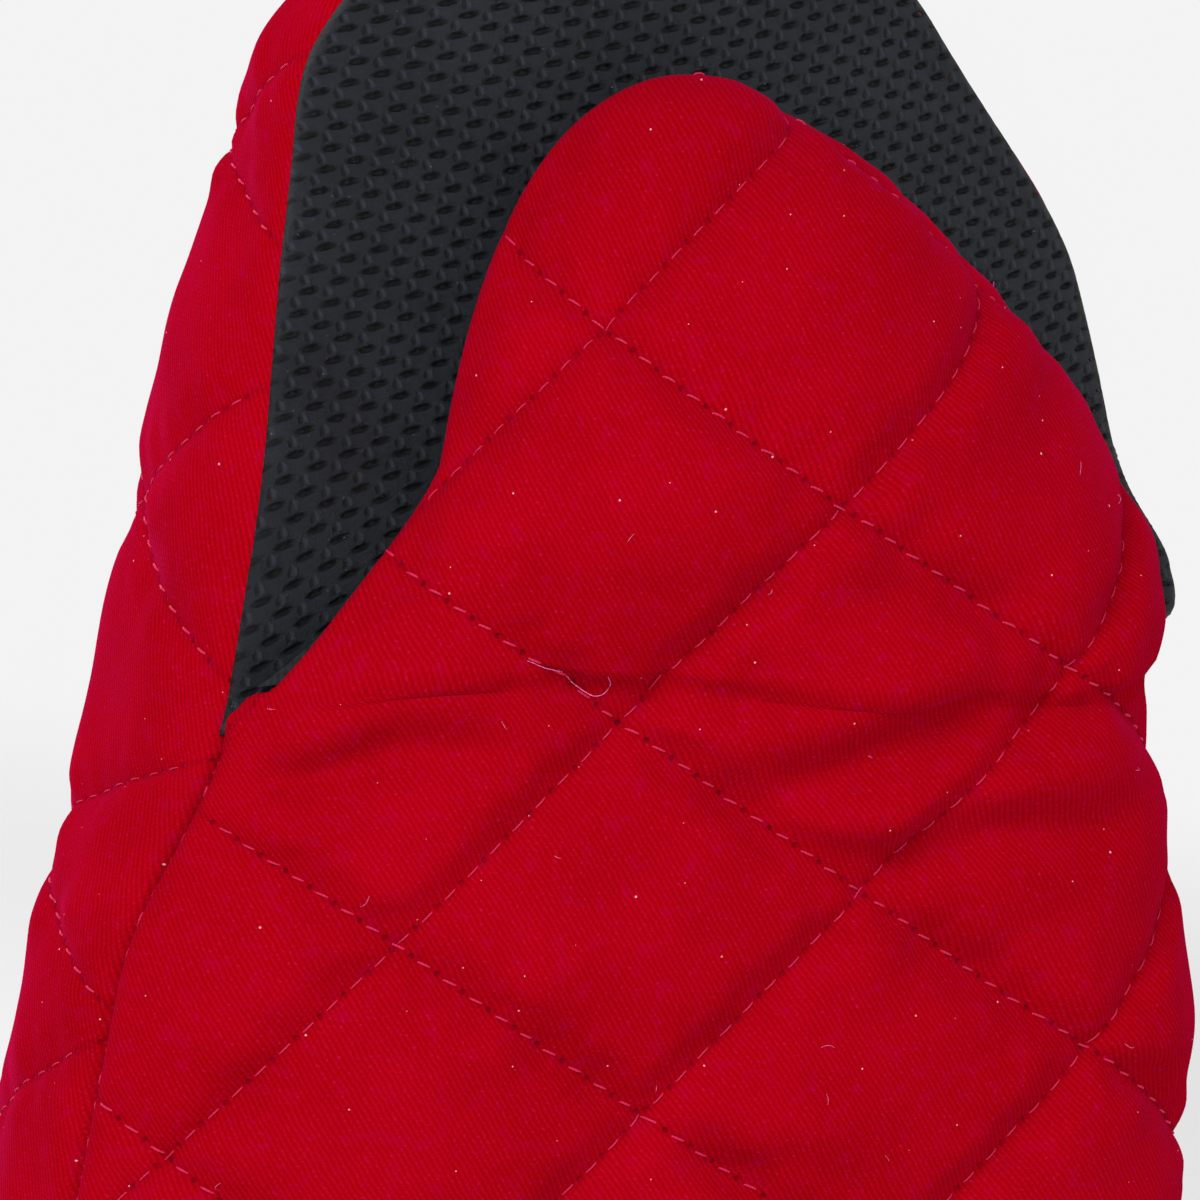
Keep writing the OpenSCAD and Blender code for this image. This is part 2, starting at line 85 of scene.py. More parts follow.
def mix(a: Any, b: Any, t: Any) -> Any:
    """Returns a at t = 0 and b at t = 1."""
    return a + (b - a) * t


def curl(v: Any, p: float) -> Any:
    """Returns v raised to p with its sign kept."""
    return np.sign(v) * np.abs(v) ** p


def unit(v: np.ndarray) -> np.ndarray:
    """Returns v with each row scaled to length 1."""
    return v / np.maximum(np.linalg.norm(v, axis=-1, keepdims=True), 1e-12)


def turned(x: Any, y: Any, degrees: float) -> tuple[Any, Any]:
    """Returns the coordinates of (x, y) along and across a direction at an angle to X."""
    c, s = math.cos(math.radians(degrees)), math.sin(math.radians(degrees))
    return x * c + y * s, y * c - x * s


def hill(*terms: tuple[Any, float, float]) -> Any:
    """Returns a smooth hill of height 1; each term is a value, the hill's centre and its half width."""
    return np.exp(-sum(((value - centre) / width) ** 2 for value, centre, width in terms))


def rolled(far: Any, depth: float, width: float) -> Any:
    """Returns how deep a rounded sewn edge lies at a distance from its line."""
    return depth * (1 - np.sqrt(1 - (1 - np.clip(far / width, 0, 1)) ** 2.2))


def travel(path: np.ndarray) -> np.ndarray:
    """Returns how far each point of a path lies from its start, along the path."""
    return np.concatenate([[0], np.cumsum(np.linalg.norm(np.diff(path, axis=0), axis=1))])


def running(steps: np.ndarray) -> np.ndarray:
    """Returns the sums of the steps along each row, starting from 0."""
    return np.concatenate([np.zeros((len(steps), 1)), np.cumsum(steps, axis=1)], axis=1)


def pick(at: np.ndarray, s: np.ndarray, values: np.ndarray) -> np.ndarray:
    """Returns the rows of values at the places `at`, when the rows stand at the places s."""
    return np.stack([np.interp(at, s, values[:, k]) for k in range(values.shape[1])], -1)


def grid_faces(numbers: np.ndarray, inward: bool = False) -> list[list[int]]:
    """Lists the four-sided faces of a grid.

    Args:
        numbers: Corner numbers, columns right and rows up as seen from outside.
        inward: Whether the faces look inwards.

    Returns:
        The corner numbers of each face.
    """
    ring = [numbers[:-1, :-1], numbers[:-1, 1:], numbers[1:, 1:], numbers[1:, :-1]]
    if inward:
        ring = [ring[0], ring[3], ring[2], ring[1]]
    return np.stack(ring, -1).reshape(-1, 4).tolist()


def ripple(x: Any, y: Any, length: float, seed: int, waves: int = 7) -> Any:
    """Sums seeded sine waves into a soft irregular field.

    Args:
        x: First coordinate, in mm.
        y: Second coordinate, in mm.
        length: Typical wave length, in mm.
        seed: Seed of the random draws.
        waves: Number of waves.

    Returns:
        The field, about -1 to 1.
    """
    rng = np.random.default_rng(seed)
    total = 0.0
    for _ in range(waves):
        angle, phase = rng.uniform(0, 2 * math.pi, 2)
        k = 2 * math.pi / (length * rng.uniform(0.7, 1.6))
        total = total + np.sin(k * (x * math.cos(angle) + y * math.sin(angle)) + phase)
    return total / math.sqrt(waves) / 1.4


def grid_normals(points: np.ndarray) -> np.ndarray:
    """Returns the unit normals of a grid whose columns run right and rows run up, seen from outside."""
    return unit(np.cross(np.gradient(points, axis=1), np.gradient(points, axis=0)))


def resample(values: np.ndarray, rows: int, cols: int) -> np.ndarray:
    """Enlarges a grid of vectors with cubic interpolation along each axis.

    Args:
        values: Grid of shape (n, m, k).
        rows: Rows of the result.
        cols: Columns of the result.

    Returns:
        Grid of shape (rows, cols, k).
    """
    def stretch(v: np.ndarray, count: int) -> np.ndarray:
        """Stretches a grid along its first axis.

        Args:
            v: The grid.
            count: New number of rows.

        Returns:
            The longer grid.
        """
        t = np.linspace(0, len(v) - 1, count)
        i = np.clip(t.astype(int), 0, len(v) - 2)
        f = (t - i)[:, None, None]
        p = [v[np.clip(i + k, 0, len(v) - 1)] for k in (-1, 0, 1, 2)]
        return p[1] + 0.5 * f * (p[2] - p[0] + f * (2 * p[0] - 5 * p[1] + 4 * p[2] - p[3]
                                                    + f * (3 * (p[1] - p[2]) + p[3] - p[0])))
    out = stretch(values, rows)
    return np.swapaxes(stretch(np.swapaxes(out, 0, 1), cols), 0, 1)


def distance_to(points: np.ndarray, line: np.ndarray) -> np.ndarray:
    """Measures each point's distance to a line.

    Args:
        points: Points, in any grid.
        line: The line as finely spaced points.

    Returns:
        The distance to the nearest point of the line.
    """
    tree = KDTree(len(line))
    for index, point in enumerate(line.tolist()):
        tree.insert(point, index)
    tree.balance()
    flat = points.reshape(-1, 3).tolist()
    return np.array([tree.find(p)[2] for p in flat]).reshape(points.shape[:-1])


def even_steps(curve: Callable[[np.ndarray], np.ndarray], low: float, high: float, count: int) -> np.ndarray:
    """Finds parameter values that step evenly along a curve.

    Args:
        curve: Gives the curve's points for parameter values.
        low: First value.
        high: Last value.
        count: Number of values.

    Returns:
        The values.
    """
    t = high - (high - low) * (1 - np.linspace(0, 1, 3000)) ** 2
    p = curve(t)
    s = travel(p)
    return np.interp(np.linspace(0, s[-1], count), s, t)


# ---------------------------------------------------------------------------------------------- the mitt's form
@dataclass(frozen=True)
class MittForm:
    """The mitt's outer surfaces in mm, cuff rim at z = 0, fingers up, thumb towards -Y."""

    width: float = 176.0
    mouth: float = 200.0
    fingers: float = 100.0
    thumb: float = 76.0
    back_depth: float = 36.0
    front_depth: float = 40.0
    lean: float = 22.0
    power: float = 2.8
    side_round: float = 0.27
    seam_left: float = 28.0
    seam_right: float = 4.0
    grip_crown: float = 8.5
    root: float = 15.0
    swell: float = 13.0
    thumb_left: float = 43.0
    flare: float = 0.34
    edge_lift: float = 3.2
    mouth_gap: float = 0.8
    cloth: float = 5.0
    grip: float = 4.3
    finger_extra: float = 7.6
    middle_back: float = 37.25

    @property
    def height(self) -> float:
        """Height of the finger tip over the rim."""
        return self.mouth + self.fingers

    def half_w(self, z: Any) -> Any:
        """Returns half the width at height z."""
        return self.width / 2 * np.maximum(1 - (z / self.height) ** 1.5, 1e-9) ** self.side_round

    def mid_y(self, z: Any) -> Any:
        """Returns the middle line's lean towards the back at height z."""
        return self.lean * smooth(2 * z / self.height - 1)

    def back_d(self, z: Any) -> Any:
        """Returns the depth behind the middle line."""
        return self.back_depth * np.sqrt(np.maximum(1 - (z / self.height) ** 4, 0))

    def front_d(self, z: Any) -> Any:
        """Returns the depth in front of the middle line."""
        deep = self.front_depth + 0.6 * self.mid_y(z)
        return deep * np.sqrt(np.maximum(1 - (z / self.height) ** 5, 0))

    def ring(self, degrees: Any, z: Any) -> np.ndarray:
        """Finds a point of the level section.

        Args:
            degrees: Angle, 0 at the right and 90 at the back.
            z: Height in mm.

        Returns:
            The point in mm.
        """
        degrees, z = np.broadcast_arrays(np.asarray(degrees, float), np.asarray(z, float))
        c, s = np.cos(np.radians(degrees)), np.sin(np.radians(degrees))
        p = 2 / self.power
        y = self.mid_y(z) + np.where(s < 0, self.front_d(z), self.back_d(z)) * curl(s, p)
        return np.stack([self.half_w(z) * curl(c, p) + self.fuller(z) * np.maximum(c, 0), y, z], -1)

    def fuller(self, z: Any) -> Any:
        """Returns how much farther the finger half's right edge stands out than its left one."""
        return self.finger_extra * smooth((285 - z) / 32) * smooth((z - self.mouth) / 9)

    def turn_left(self, z: Any) -> Any:
        """Returns how far the left seam stands round towards the front, in degrees."""
        return self.seam_left * (1 - 0.6 * smooth((z - 215) / 75) - 0.42 * smooth((202 - z) / 45))

    def turn_right(self, z: Any) -> Any:
        """Returns how far the right seam stands round towards the front, in degrees."""
        return self.seam_right * (1 - smooth((z - self.mouth) / 14))

    def left(self, z: Any) -> np.ndarray:
        """Returns the left seam at height z."""
        return self.ring(180 + self.turn_left(z), z)

    def right(self, z: Any) -> np.ndarray:
        """Returns the right seam at height z."""
        return self.ring(-self.turn_right(z), z)

    def front_y(self, x: Any, z: Any) -> Any:
        """Returns the front face's y under the mouth."""
        inner = np.maximum(0, 1 - np.minimum(1, np.abs(x) / self.half_w(z)) ** self.power)
        return self.mid_y(z) - self.front_d(z) * inner ** (1 / self.power)

    def grip_y(self, x: Any, z: Any) -> Any:
        """Finds the face of the grip sheet, stretched from seam to seam.

        Args:
            x: Place across, in mm.
            z: Height in mm.

        Returns:
            The face's y in mm.
        """
        a, b = self.left(z), self.right(z)
        u = np.clip((x - a[..., 0]) / (b[..., 0] - a[..., 0]), 0, 1)
        crown = self.grip_crown * np.sqrt(np.maximum(0, 1 - (z / self.height) ** 6))
        return mix(a[..., 1], b[..., 1], u) - crown * 4 * u * (1 - u)

    def thumb_x(self, s: Any, v: Any) -> Any:
        """Finds the thumb's outline.

        Args:
            s: Side, -1 left and 1 right.
            v: Share of the thumb's length.

        Returns:
            The x in mm.
        """
        corner_l, corner_r = self.left(self.mouth)[0], self.right(self.mouth)[0]
        left = self.thumb_left * np.sqrt(np.maximum(0, 1 - v * v)) \
            + (-corner_l - self.thumb_left) * np.maximum(0, 1 - v / self.flare) ** 1.4
        right = corner_r * np.maximum(0, 1 - v ** 1.8) ** 0.66 \
            + 2.6 * hill((v, 0.33, 0.2)) * smooth(v / 0.06)
        return np.where(s < 0, s * left, s * right)

    def thumb_depth(self, s: Any, v: Any) -> Any:
        """Finds the thumb's thickness in front of the grip sheet.

        Args:
            s: Side, -1 left and 1 right.
            v: Share of the thumb's length.

        Returns:
            The thickness in mm.
        """
        ramp = np.minimum(1, v / 0.03)
        deep = (self.root + self.swell * smooth(v / 0.35)) * np.sqrt(np.maximum(0, 1 - v ** 4))
        x = np.where(s < 0, -s * self.left(self.mouth)[0], s * self.right(self.mouth)[0])
        z = self.mouth + 0 * x
        root = (self.grip_y(x, z) - self.front_y(x, z)) / self.root
        crown = np.sqrt(1 - np.minimum(1, np.abs(s)) ** 2.4)
        return self.edge_lift * ramp + deep * (1 - 0.07 * ramp) * mix(root, crown, smooth(v / 0.45))

    def front(self, s: Any, z: Any) -> np.ndarray:
        """Finds a point of the front panel, the thumb included.

        Args:
            s: Side, -1 left and 1 right.
            z: Height in mm.

        Returns:
            The point in mm.
        """
        s, z = np.broadcast_arrays(np.asarray(s, float), np.asarray(z, float))
        low = np.minimum(z, self.mouth)
        x = np.where(s < 0, -s * self.left(low)[..., 0], s * self.right(low)[..., 0])
        under = np.stack([x, self.front_y(x, low), z], -1)
        v = np.clip((z - self.mouth) / self.thumb, 0, 1)
        x = self.thumb_x(s, v)
        y = self.grip_y(x, z) - self.mouth_gap * np.minimum(1, 12 * v) - self.thumb_depth(s, v)
        return np.where((z <= self.mouth)[..., None], under, np.stack([x, y, z], -1))

    def settle(self, p: np.ndarray) -> np.ndarray:
        """Lets the cloth settle: the mouth's left corner hangs lower, its right corner rides up and draws in.

        Args:
            p: Points in mm.

        Returns:
            The settled points in mm.
        """
        x, y, z = p[..., 0], p[..., 1], p[..., 2]
        ahead = smooth((30 - y) / 30)
        drop = 6.0 * hill((x, -66, 17), (z, 200, 20)) * ahead
        lift = 3.5 * hill((x, 72, 16), (z, 203, 20)) * ahead
        waist = 4.5 * hill((x, 90, 22), (z, 192, 20)) + 3.0 * hill((x, 80, 26), (z, 200, 13))
        waist = waist + 3.6 * hill((x, 85, 24), (z, 200, 24)) * smooth((y + 2) / 14)
        waist = waist + 2.4 * hill((x, -55, 30), (z, 274, 11))
        waist = waist + 1.8 * smooth((-x - 40) / 40) * smooth((182 - z) / 22)
        return np.stack([x - waist, y, z - drop + lift], -1)

    def place(self, p: np.ndarray) -> np.ndarray:
        """Returns points in metres, in the frame that all the pieces share."""
        return self.settle(np.asarray(p, float)) * MM + self.origin

    @property
    def origin(self) -> np.ndarray:
        """The middle of the cuff in the shared frame, in metres."""
        low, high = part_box("cuff_binding")
        return np.array([(low[0] + high[0]) / 2, high[1] - self.middle_back * MM, 0.0])


FORM = MittForm()


# ---------------------------------------------------------------------------------------------- shader helpers
class Sock:
    """A node socket or number that Python operators turn into Math nodes."""

    def __init__(self, maker: "Maker", link: Any) -> None:
        """Keeps the socket and the tree that it is in."""
        self.maker, self.link = maker, link

    def _math(self, op: str, *values: Any) -> "Sock":
        """Adds a Math node for op and returns its result."""
        return self.maker.node("ShaderNodeMath", {"operation": op}, dict(enumerate(values)))

    def __add__(self, o: Any) -> "Sock":
        """Returns self + o."""
        return self._math("ADD", self, o)

    def __sub__(self, o: Any) -> "Sock":
        """Returns self - o."""
        return self._math("SUBTRACT", self, o)

    def __rsub__(self, o: Any) -> "Sock":
        """Returns o - self."""
        return self._math("SUBTRACT", o, self)

    def __mul__(self, o: Any) -> "Sock":
        """Returns self * o."""
        return self._math("MULTIPLY", self, o)

    def __truediv__(self, o: Any) -> "Sock":
        """Returns self / o."""
        return self._math("DIVIDE", self, o)

    def __pow__(self, o: Any) -> "Sock":
        """Returns self to the power o."""
        return self._math("POWER", self, o)

    __radd__ = __add__
    __rmul__ = __mul__

    def wave(self) -> "Sock":
        """Returns 0 to 1 once for each whole number, as a soft wave."""
        return self._math("COSINE", self * (2 * math.pi)) * 0.5 + 0.5

    def frac(self) -> "Sock":
        """Returns the part after the decimal point."""
        return self._math("FRACT", self)

    def size(self) -> "Sock":
        """Returns the absolute value."""
        return self._math("ABSOLUTE", self)

    def step(self, low: float, high: float) -> "Sock":
        """Returns a soft step from 0 at low to 1 at high, either way round."""
        return self.maker.node("ShaderNodeMapRange", {"interpolation_type": "SMOOTHSTEP"},
                               {"Value": self, "From Min": low, "From Max": high})


class Maker:
    """Adds nodes to one material's tree."""

    def __init__(self, tree: bpy.types.NodeTree) -> None:
        """Keeps the tree."""
        self.tree = tree

    def node(self, kind: str, settings: dict[str, Any] | None = None, values: dict[Any, Any] | None = None,
             out: Any = 0) -> Sock:
        """Makes any node.

        Args:
            kind: The node's type.
            settings: Properties set before the sockets.
            values: Socket values or links by socket name or number.
            out: Name or number of the output that is returned.

        Returns:
            The output socket, wrapped.
        """
        n = self.tree.nodes.new(kind)
        for key, value in (settings or {}).items():
            setattr(n, key, value)
        for key, value in (values or {}).items():
            if isinstance(value, Sock):
                self.tree.links.new(value.link, n.inputs[key])
            else:
                n.inputs[key].default_value = value
        return Sock(self, n.outputs[out])

    def paint(self, a: Any, b: Any, factor: Any) -> Sock:
        """Mixes two colours.

        Args:
            a: Colour at factor 0.
            b: Colour at factor 1.
            factor: The mask.

        Returns:
            The mixed colour.
        """
        n = self.tree.nodes.new("ShaderNodeMix")
        n.data_type = "RGBA"
        for index, value in ((0, factor), (6, a), (7, b)):
            if isinstance(value, Sock):
                self.tree.links.new(value.link, n.inputs[index])
            else:
                n.inputs[index].default_value = (*value, 1.0) if index else value
        return Sock(self, n.outputs[2])

    def noise(self, vector: Sock, scale: float, detail: float = 2.0, rough: float = 0.5) -> Sock:
        """Returns a noise from 0 to 1."""
        return self.node("ShaderNodeTexNoise", None,
                         {"Vector": vector, "Scale": scale, "Detail": detail, "Roughness": rough})

    def specks(self, vector: Sock, scale: float, rare: float) -> Sock:
        """Makes tiny uneven lint specks.

        Args:
            vector: Flat place in mm.
            scale: Cells per mm.
            rare: Share of the cells that hold none.

        Returns:
            The mask.
        """
        n = self.tree.nodes.new("ShaderNodeTexVoronoi")
        n.voronoi_dimensions = "2D"
        n.inputs["Scale"].default_value = scale
        self.tree.links.new(vector.link, n.inputs["Vector"])
        chance, size, _ = self.parts(Sock(self, n.outputs["Color"]))
        far = Sock(self, n.outputs["Distance"]) / (size * 0.02 + 0.008)
        return far.step(1.0, 0.5) * chance.step(rare, rare + 0.05)

    def uv(self) -> tuple[Sock, Sock, Sock]:
        """Returns the piece's own UV map in mm: the vector, its u and its v."""
        vector = self.node("ShaderNodeUVMap", {"uv_map": "UVMap"})
        return vector, *self.parts(vector)[:2]

    def parts(self, vector: Sock) -> tuple[Sock, Sock, Sock]:
        """Takes a vector apart.

        Args:
            vector: The vector.

        Returns:
            Its three parts.
        """
        n = self.tree.nodes.new("ShaderNodeSeparateXYZ")
        self.tree.links.new(vector.link, n.inputs[0])
        return tuple(Sock(self, o) for o in n.outputs)

    def place(self) -> Sock:
        """Returns the point's place on the piece, in mm."""
        v = self.node("ShaderNodeTexCoord", None, None, "Object")
        return self.node("ShaderNodeVectorMath", {"operation": "SCALE"}, {0: v, "Scale": 1000.0})


@dataclass(frozen=True)
class Finish:
    """A procedural material. Subclasses paint its colour and relief."""

    name: str
    rough: float = 0.85
    specular: float = 0.25
    sheen: float = 0.0
    sheen_tint: tuple[float, float, float] = (1.0, 1.0, 1.0)
    relief: float = 0.1

    def paint(self, m: Maker) -> tuple[Sock, Sock]:
        """Returns the colour and the height in mm."""
        raise NotImplementedError

    def make(self) -> bpy.types.Material:
        """Makes the material the first time it is asked for.

        Returns:
            The material.
        """
        done = bpy.data.materials.get(self.name)
        if done:
            return done
        material = bpy.data.materials.new(self.name)
        material.use_nodes = True
        m = Maker(material.node_tree)
        shader = material.node_tree.nodes["Principled BSDF"]
        for key, value in {"Roughness": self.rough, "Specular IOR Level": self.specular, "Sheen Weight": self.sheen,
                           "Sheen Roughness": 0.35, "Sheen Tint": (*self.sheen_tint, 1.0)}.items():
            shader.inputs[key].default_value = value
        colour, height = self.paint(m)
        bump = m.node("ShaderNodeBump", None, {"Strength": 1.0, "Distance": self.relief * MM, "Height": height})
        m.tree.links.new(colour.link, shader.inputs["Base Color"])
        m.tree.links.new(bump.link, shader.inputs["Normal"])
        return material


@dataclass(frozen=True)
class Lattice:
    """The quilting's two families of parallel lines on a panel's flat coordinates, in mm."""

    origin: tuple[float, float]
    angles: tuple[float, float] = (49.0, -31.8)
    pitches: tuple[float, float] = (37.6, 37.7)
    stitch: float = 3.9

    def across(self, family: int, u: Any, v: Any) -> Any:
        """Measures the distance to a family's nearest line.

        Args:
            family: Number of the family.
            u: First flat coordinate.
            v: Second flat coordinate.

        Returns:
            The signed distance in mm.
        """
        d = turned(u - self.origin[0], v - self.origin[1], self.angles[family])[1]
        pitch = self.pitches[family]
        return d - pitch * np.round(d / pitch)

    def near(self, u: Any, v: Any) -> Any:
        """Returns the distance to the nearest line."""
        return np.minimum(np.abs(self.across(0, u, v)), np.abs(self.across(1, u, v)))


@dataclass(frozen=True)
class Twill(Finish):
    """Brushed red cotton twill: fine slanting ribs, a violet-pink bloom, lint, and painted shade in the needle holes
    and along the quilting lines.
    """

    rib_angle: float = -56.0
    rib_pitch: float = 0.66
    lattice: Lattice | None = None
    groove: tuple[float, float, float] = (0.20, 0.0002, 0.0015)
    rib: tuple[float, float, float] = (0.37, 0.0005, 0.008)
    bloom: tuple[float, float, float] = (0.48, 0.006, 0.09)
    haze: tuple[float, float, float] = (0.30, 0.0004, 0.035)
    lint: tuple[float, float, float] = (0.80, 0.42, 0.50)
    # The next colour is painted shade, laid in the needle holes and along the quilting lines; the two shares after
    # it set how strongly each family's holes are darkened.
    hole: tuple[float, float, float] = (0.05, 0.0, 0.004)
    hole_shade_shares: tuple[float, float] = (0.22, 0.42)
    yarn_pitch: float = 0.62

    def paint(self, m: Maker) -> tuple[Sock, Sock]:
        """Paints the ribs, the bloom, the lint, and painted shade in the needle holes and along the quilting lines.

        Args:
            m: Maker of the material's tree.

        Returns:
            The colour and the height in mm.
        """
        vector, u, v = m.uv()
        drift = m.noise(vector, 0.35, 4.0, 0.6) * 1.1
        along, across = turned(u, v, self.rib_angle)
        phase = across / self.rib_pitch + drift
        rib = phase.wave()
        yarn = (along / self.yarn_pitch + phase * 0.5).wave()
        cloud = m.noise(vector, 0.055, 4.0, 0.55)
        grain = m.noise(vector, 3.2, 3.0, 0.65)
        tone = rib * 0.24 + yarn * rib * 0.14 + cloud * 0.50 + grain * 0.30 - 0.10
        colour = m.paint(self.groove, self.rib, tone.step(0.0, 1.0))
        fuzz = m.noise(m.node("ShaderNodeVectorMath", {"operation": "MULTIPLY"}, {0: vector, 1: (1.0, 1.6, 1.0)}),
                       1.4, 4.0, 0.7)
        colour = m.paint(colour, self.bloom, fuzz.step(0.54, 0.76) * (rib * 0.5 + 0.15))
        colour = m.paint(colour, self.haze, m.noise(vector, 0.4, 4.0, 0.65).step(0.5, 0.72) * 0.3)
        colour = m.paint(colour, self.lint, m.specks(vector, 0.16, 0.74) * 0.75)
        height = rib * 0.55 + yarn * 0.2 + grain * 0.5
        if self.lattice:
            for family in (0, 1):
                lat = self.lattice
                s, d = turned(u - lat.origin[0], v - lat.origin[1], lat.angles[family])
                pitch = lat.pitches[family]
                d = ((d / pitch + 0.5).frac() - 0.5) * pitch
                hole = ((s / lat.stitch + 0.5).frac() - 0.5) * lat.stitch
                hole = (hole * hole + d * d) ** 0.5
                mark = hole.step(0.44, 0.1)
                line = d.size().step(0.9, 0.1)
                # Painted shade: the needle holes and a band within 0.9 mm of each quilting line are darkened,
                # besides being sunk by the bump.
                colour = m.paint(colour, self.hole, mark * self.hole_shade_shares[family] + line * 0.14)
                height = height - mark * 2.2 - line * 0.7
        return colour, height


@dataclass(frozen=True)
class Emboss:
    """The grip sheet's pressed pattern: short slanting slots with an upright rib standing over each."""

    step_right: tuple[float, float] = (2.85, -1.3)
    step_up: tuple[float, float] = (1.4, 2.75)
    slot_angle: float = 15.0
    slot: tuple[float, float] = (1.95, 0.52)
    rib_angle: float = 104.0
    rib_shift: tuple[float, float] = (0.1, -0.2)
    rib_ends: tuple[float, float] = (0.3, 2.2)
    ridge_at: float = -0.3
    cut_at: float = 0.38

    def cell(self, u: Any, v: Any, fold: Callable[[Any], Any]) -> tuple[Any, Any, Any, Any]:
        """Finds a flat place in the pattern, for numbers and for sockets.

        Args:
            u: First flat coordinate, in mm.
            v: Second flat coordinate, in mm.
            fold: Takes the nearest whole number away from a count of lattice steps.

        Returns:
            The two counts of lattice steps, and the place's x and y from its slot's middle, in mm.
        """
        inverse = np.linalg.inv(np.array([self.step_right, self.step_up]).T).tolist()
        a, b = [u * row[0] + v * row[1] for row in inverse]
        fa, fb = fold(a), fold(b)
        x = fa * self.step_right[0] + fb * self.step_up[0]
        return a, b, x, fa * self.step_right[1] + fb * self.step_up[1]

    def height(self, u: np.ndarray, v: np.ndarray) -> np.ndarray:
        """Shapes the pressed relief.

        Args:
            u: First flat coordinate, in mm.
            v: Second flat coordinate, in mm.

        Returns:
            The relief in mm.
        """
        a, b, x, y = self.cell(u, v, lambda steps: steps - np.round(steps))
        s, d = turned(x, y, self.slot_angle)
        total = -0.62 * smooth((1.0 - np.hypot(s / self.slot[0], d / self.slot[1])) / 0.6)
        total += 0.09 * np.cos(2 * math.pi * a) * np.cos(2 * math.pi * b)
        s, d = turned(x + self.rib_shift[0], y + self.rib_shift[1], self.rib_angle)
        upright = smooth((s - self.rib_ends[0]) / 0.5) * smooth((self.rib_ends[1] - s) / 0.5)
        return total + upright * (0.16 * hill((d, self.ridge_at, 0.34)) - 0.28 * hill((d, self.cut_at, 0.3)))


@dataclass(frozen=True)
class Neoprene(Finish):
    """Charcoal foam sheet with a satin skin, its pressed pattern, fine grain and lint; painted shade darkens the
    pressed slots and cuts and a painted highlight lightens the upright ribs' ridges.
    """

    emboss: Emboss = Emboss()
    dark: tuple[float, float, float] = (0.002, 0.0026, 0.0042)
    light: tuple[float, float, float] = (0.0115, 0.0140, 0.0205)
    # The next colour is a painted highlight, laid on the ridge of each upright rib.
    highlit_ridge: tuple[float, float, float] = (0.026, 0.032, 0.045)
    # The next colour is painted shade, laid in the pressed slots and in the cut beside each upright rib.
    slot: tuple[float, float, float] = (0.0008, 0.0009, 0.0011)
    lint: tuple[float, float, float] = (0.36, 0.38, 0.43)

    def paint(self, m: Maker) -> tuple[Sock, Sock]:
        """Paints the satin skin, painted shade in the slots and cuts, a painted highlight on the upright ribs'
        ridges, and the lint.

        Args:
            m: Maker of the material's tree.

        Returns:
            The colour and the height in mm.
        """
        vector, u, v = m.uv()
        e = self.emboss
        _, _, x, y = e.cell(u, v, lambda steps: (steps + 0.5).frac() - 0.5)
        s, d = turned(x, y, e.slot_angle)
        slot = (((s / e.slot[0]) ** 2.0 + (d / e.slot[1]) ** 2.0) ** 0.5).step(1.0, 0.3)
        s, d = turned(x + e.rib_shift[0], y + e.rib_shift[1], e.rib_angle)
        upright = s.step(e.rib_ends[0], e.rib_ends[0] + 0.5) * s.step(e.rib_ends[1], e.rib_ends[1] - 0.5)
        cut = (d - e.cut_at).size().step(0.34, 0.1) * upright
        highlit_ridge = (d - e.ridge_at).size().step(0.45, 0.1) * upright
        grain = m.noise(vector, 4.5, 4.0, 0.7)
        cloud = m.noise(vector, 0.07, 3.0)
        colour = m.paint(self.dark, self.light, (grain * 1.1 + cloud * 0.6 - 0.35).step(0.1, 0.9))
        # Painted highlight: the ridge along each upright rib is lightened.
        colour = m.paint(colour, self.highlit_ridge, highlit_ridge * 0.5)
        # Painted shade: the pressed slots and the cut beside each upright rib are darkened.
        colour = m.paint(colour, self.slot, (slot + cut * 0.8).step(0.0, 1.0))
        colour = m.paint(colour, self.lint, m.specks(vector, 0.42, 0.57) * 0.8)
        return colour, grain * 1.3 - slot * 0.9 - cut * 0.6 + highlit_ridge * 0.4


@dataclass(frozen=True)
class Plain(Finish):
    """A woven or knitted cloth, tape or thread in one colour with its own fine structure."""

    dark: tuple[float, float, float] = (0.5, 0.5, 0.5)
    light: tuple[float, float, float] = (0.8, 0.8, 0.8)
    warp: float = 0.8
    weft: float = 0.8

    def paint(self, m: Maker) -> tuple[Sock, Sock]:
        """Paints the weave and its grain.

        Args:
            m: Maker of the material's tree.

        Returns:
            The colour and the height in mm.
        """
        vector, u, v = m.uv()
        weave = (u / self.warp).wave() * 0.5 + (v / self.weft).wave() * 0.5
        grain = m.noise(vector, 2.5, 3.0, 0.6)
        colour = m.paint(self.dark, self.light, (weave * 0.55 + grain * 0.6 - 0.05).step(0.0, 1.0))
        return colour, weave * 0.8 + grain * 0.5


PINK = (1.0, 0.02, 0.24)
FRONT_LATTICE = Lattice((-3.1, 196.2))
BACK_LATTICE = Lattice((9.8, 197.8), (28.0, -26.0), (36.5, 42.5))
TWILL_FRONT = Twill("twill_front", sheen=0.14, sheen_tint=PINK, specular=0.0, relief=0.09, lattice=FRONT_LATTICE)
TWILL_BACK = Twill("twill_back", sheen=0.22, sheen_tint=PINK, specular=0.0, relief=0.09, lattice=BACK_LATTICE,
                   rib_angle=-66.0)
NEOPRENE = Neoprene("neoprene", rough=0.42, specular=0.24, relief=0.24)
LINING = Plain("cotton_lining", dark=(0.62, 0.58, 0.50), light=(0.86, 0.83, 0.76), relief=0.12, specular=0.15)
KNIT = Plain("knit_backing", dark=(0.003, 0.003, 0.004), light=(0.014, 0.014, 0.017), relief=0.1, warp=0.9, weft=1.1)
TAPE = Plain("cotton_tape", dark=(0.22, 0.0006, 0.006), light=(0.44, 0.002, 0.018), relief=0.14, warp=1.0, weft=0.5,
             sheen=0.25, sheen_tint=PINK, specular=0.15)
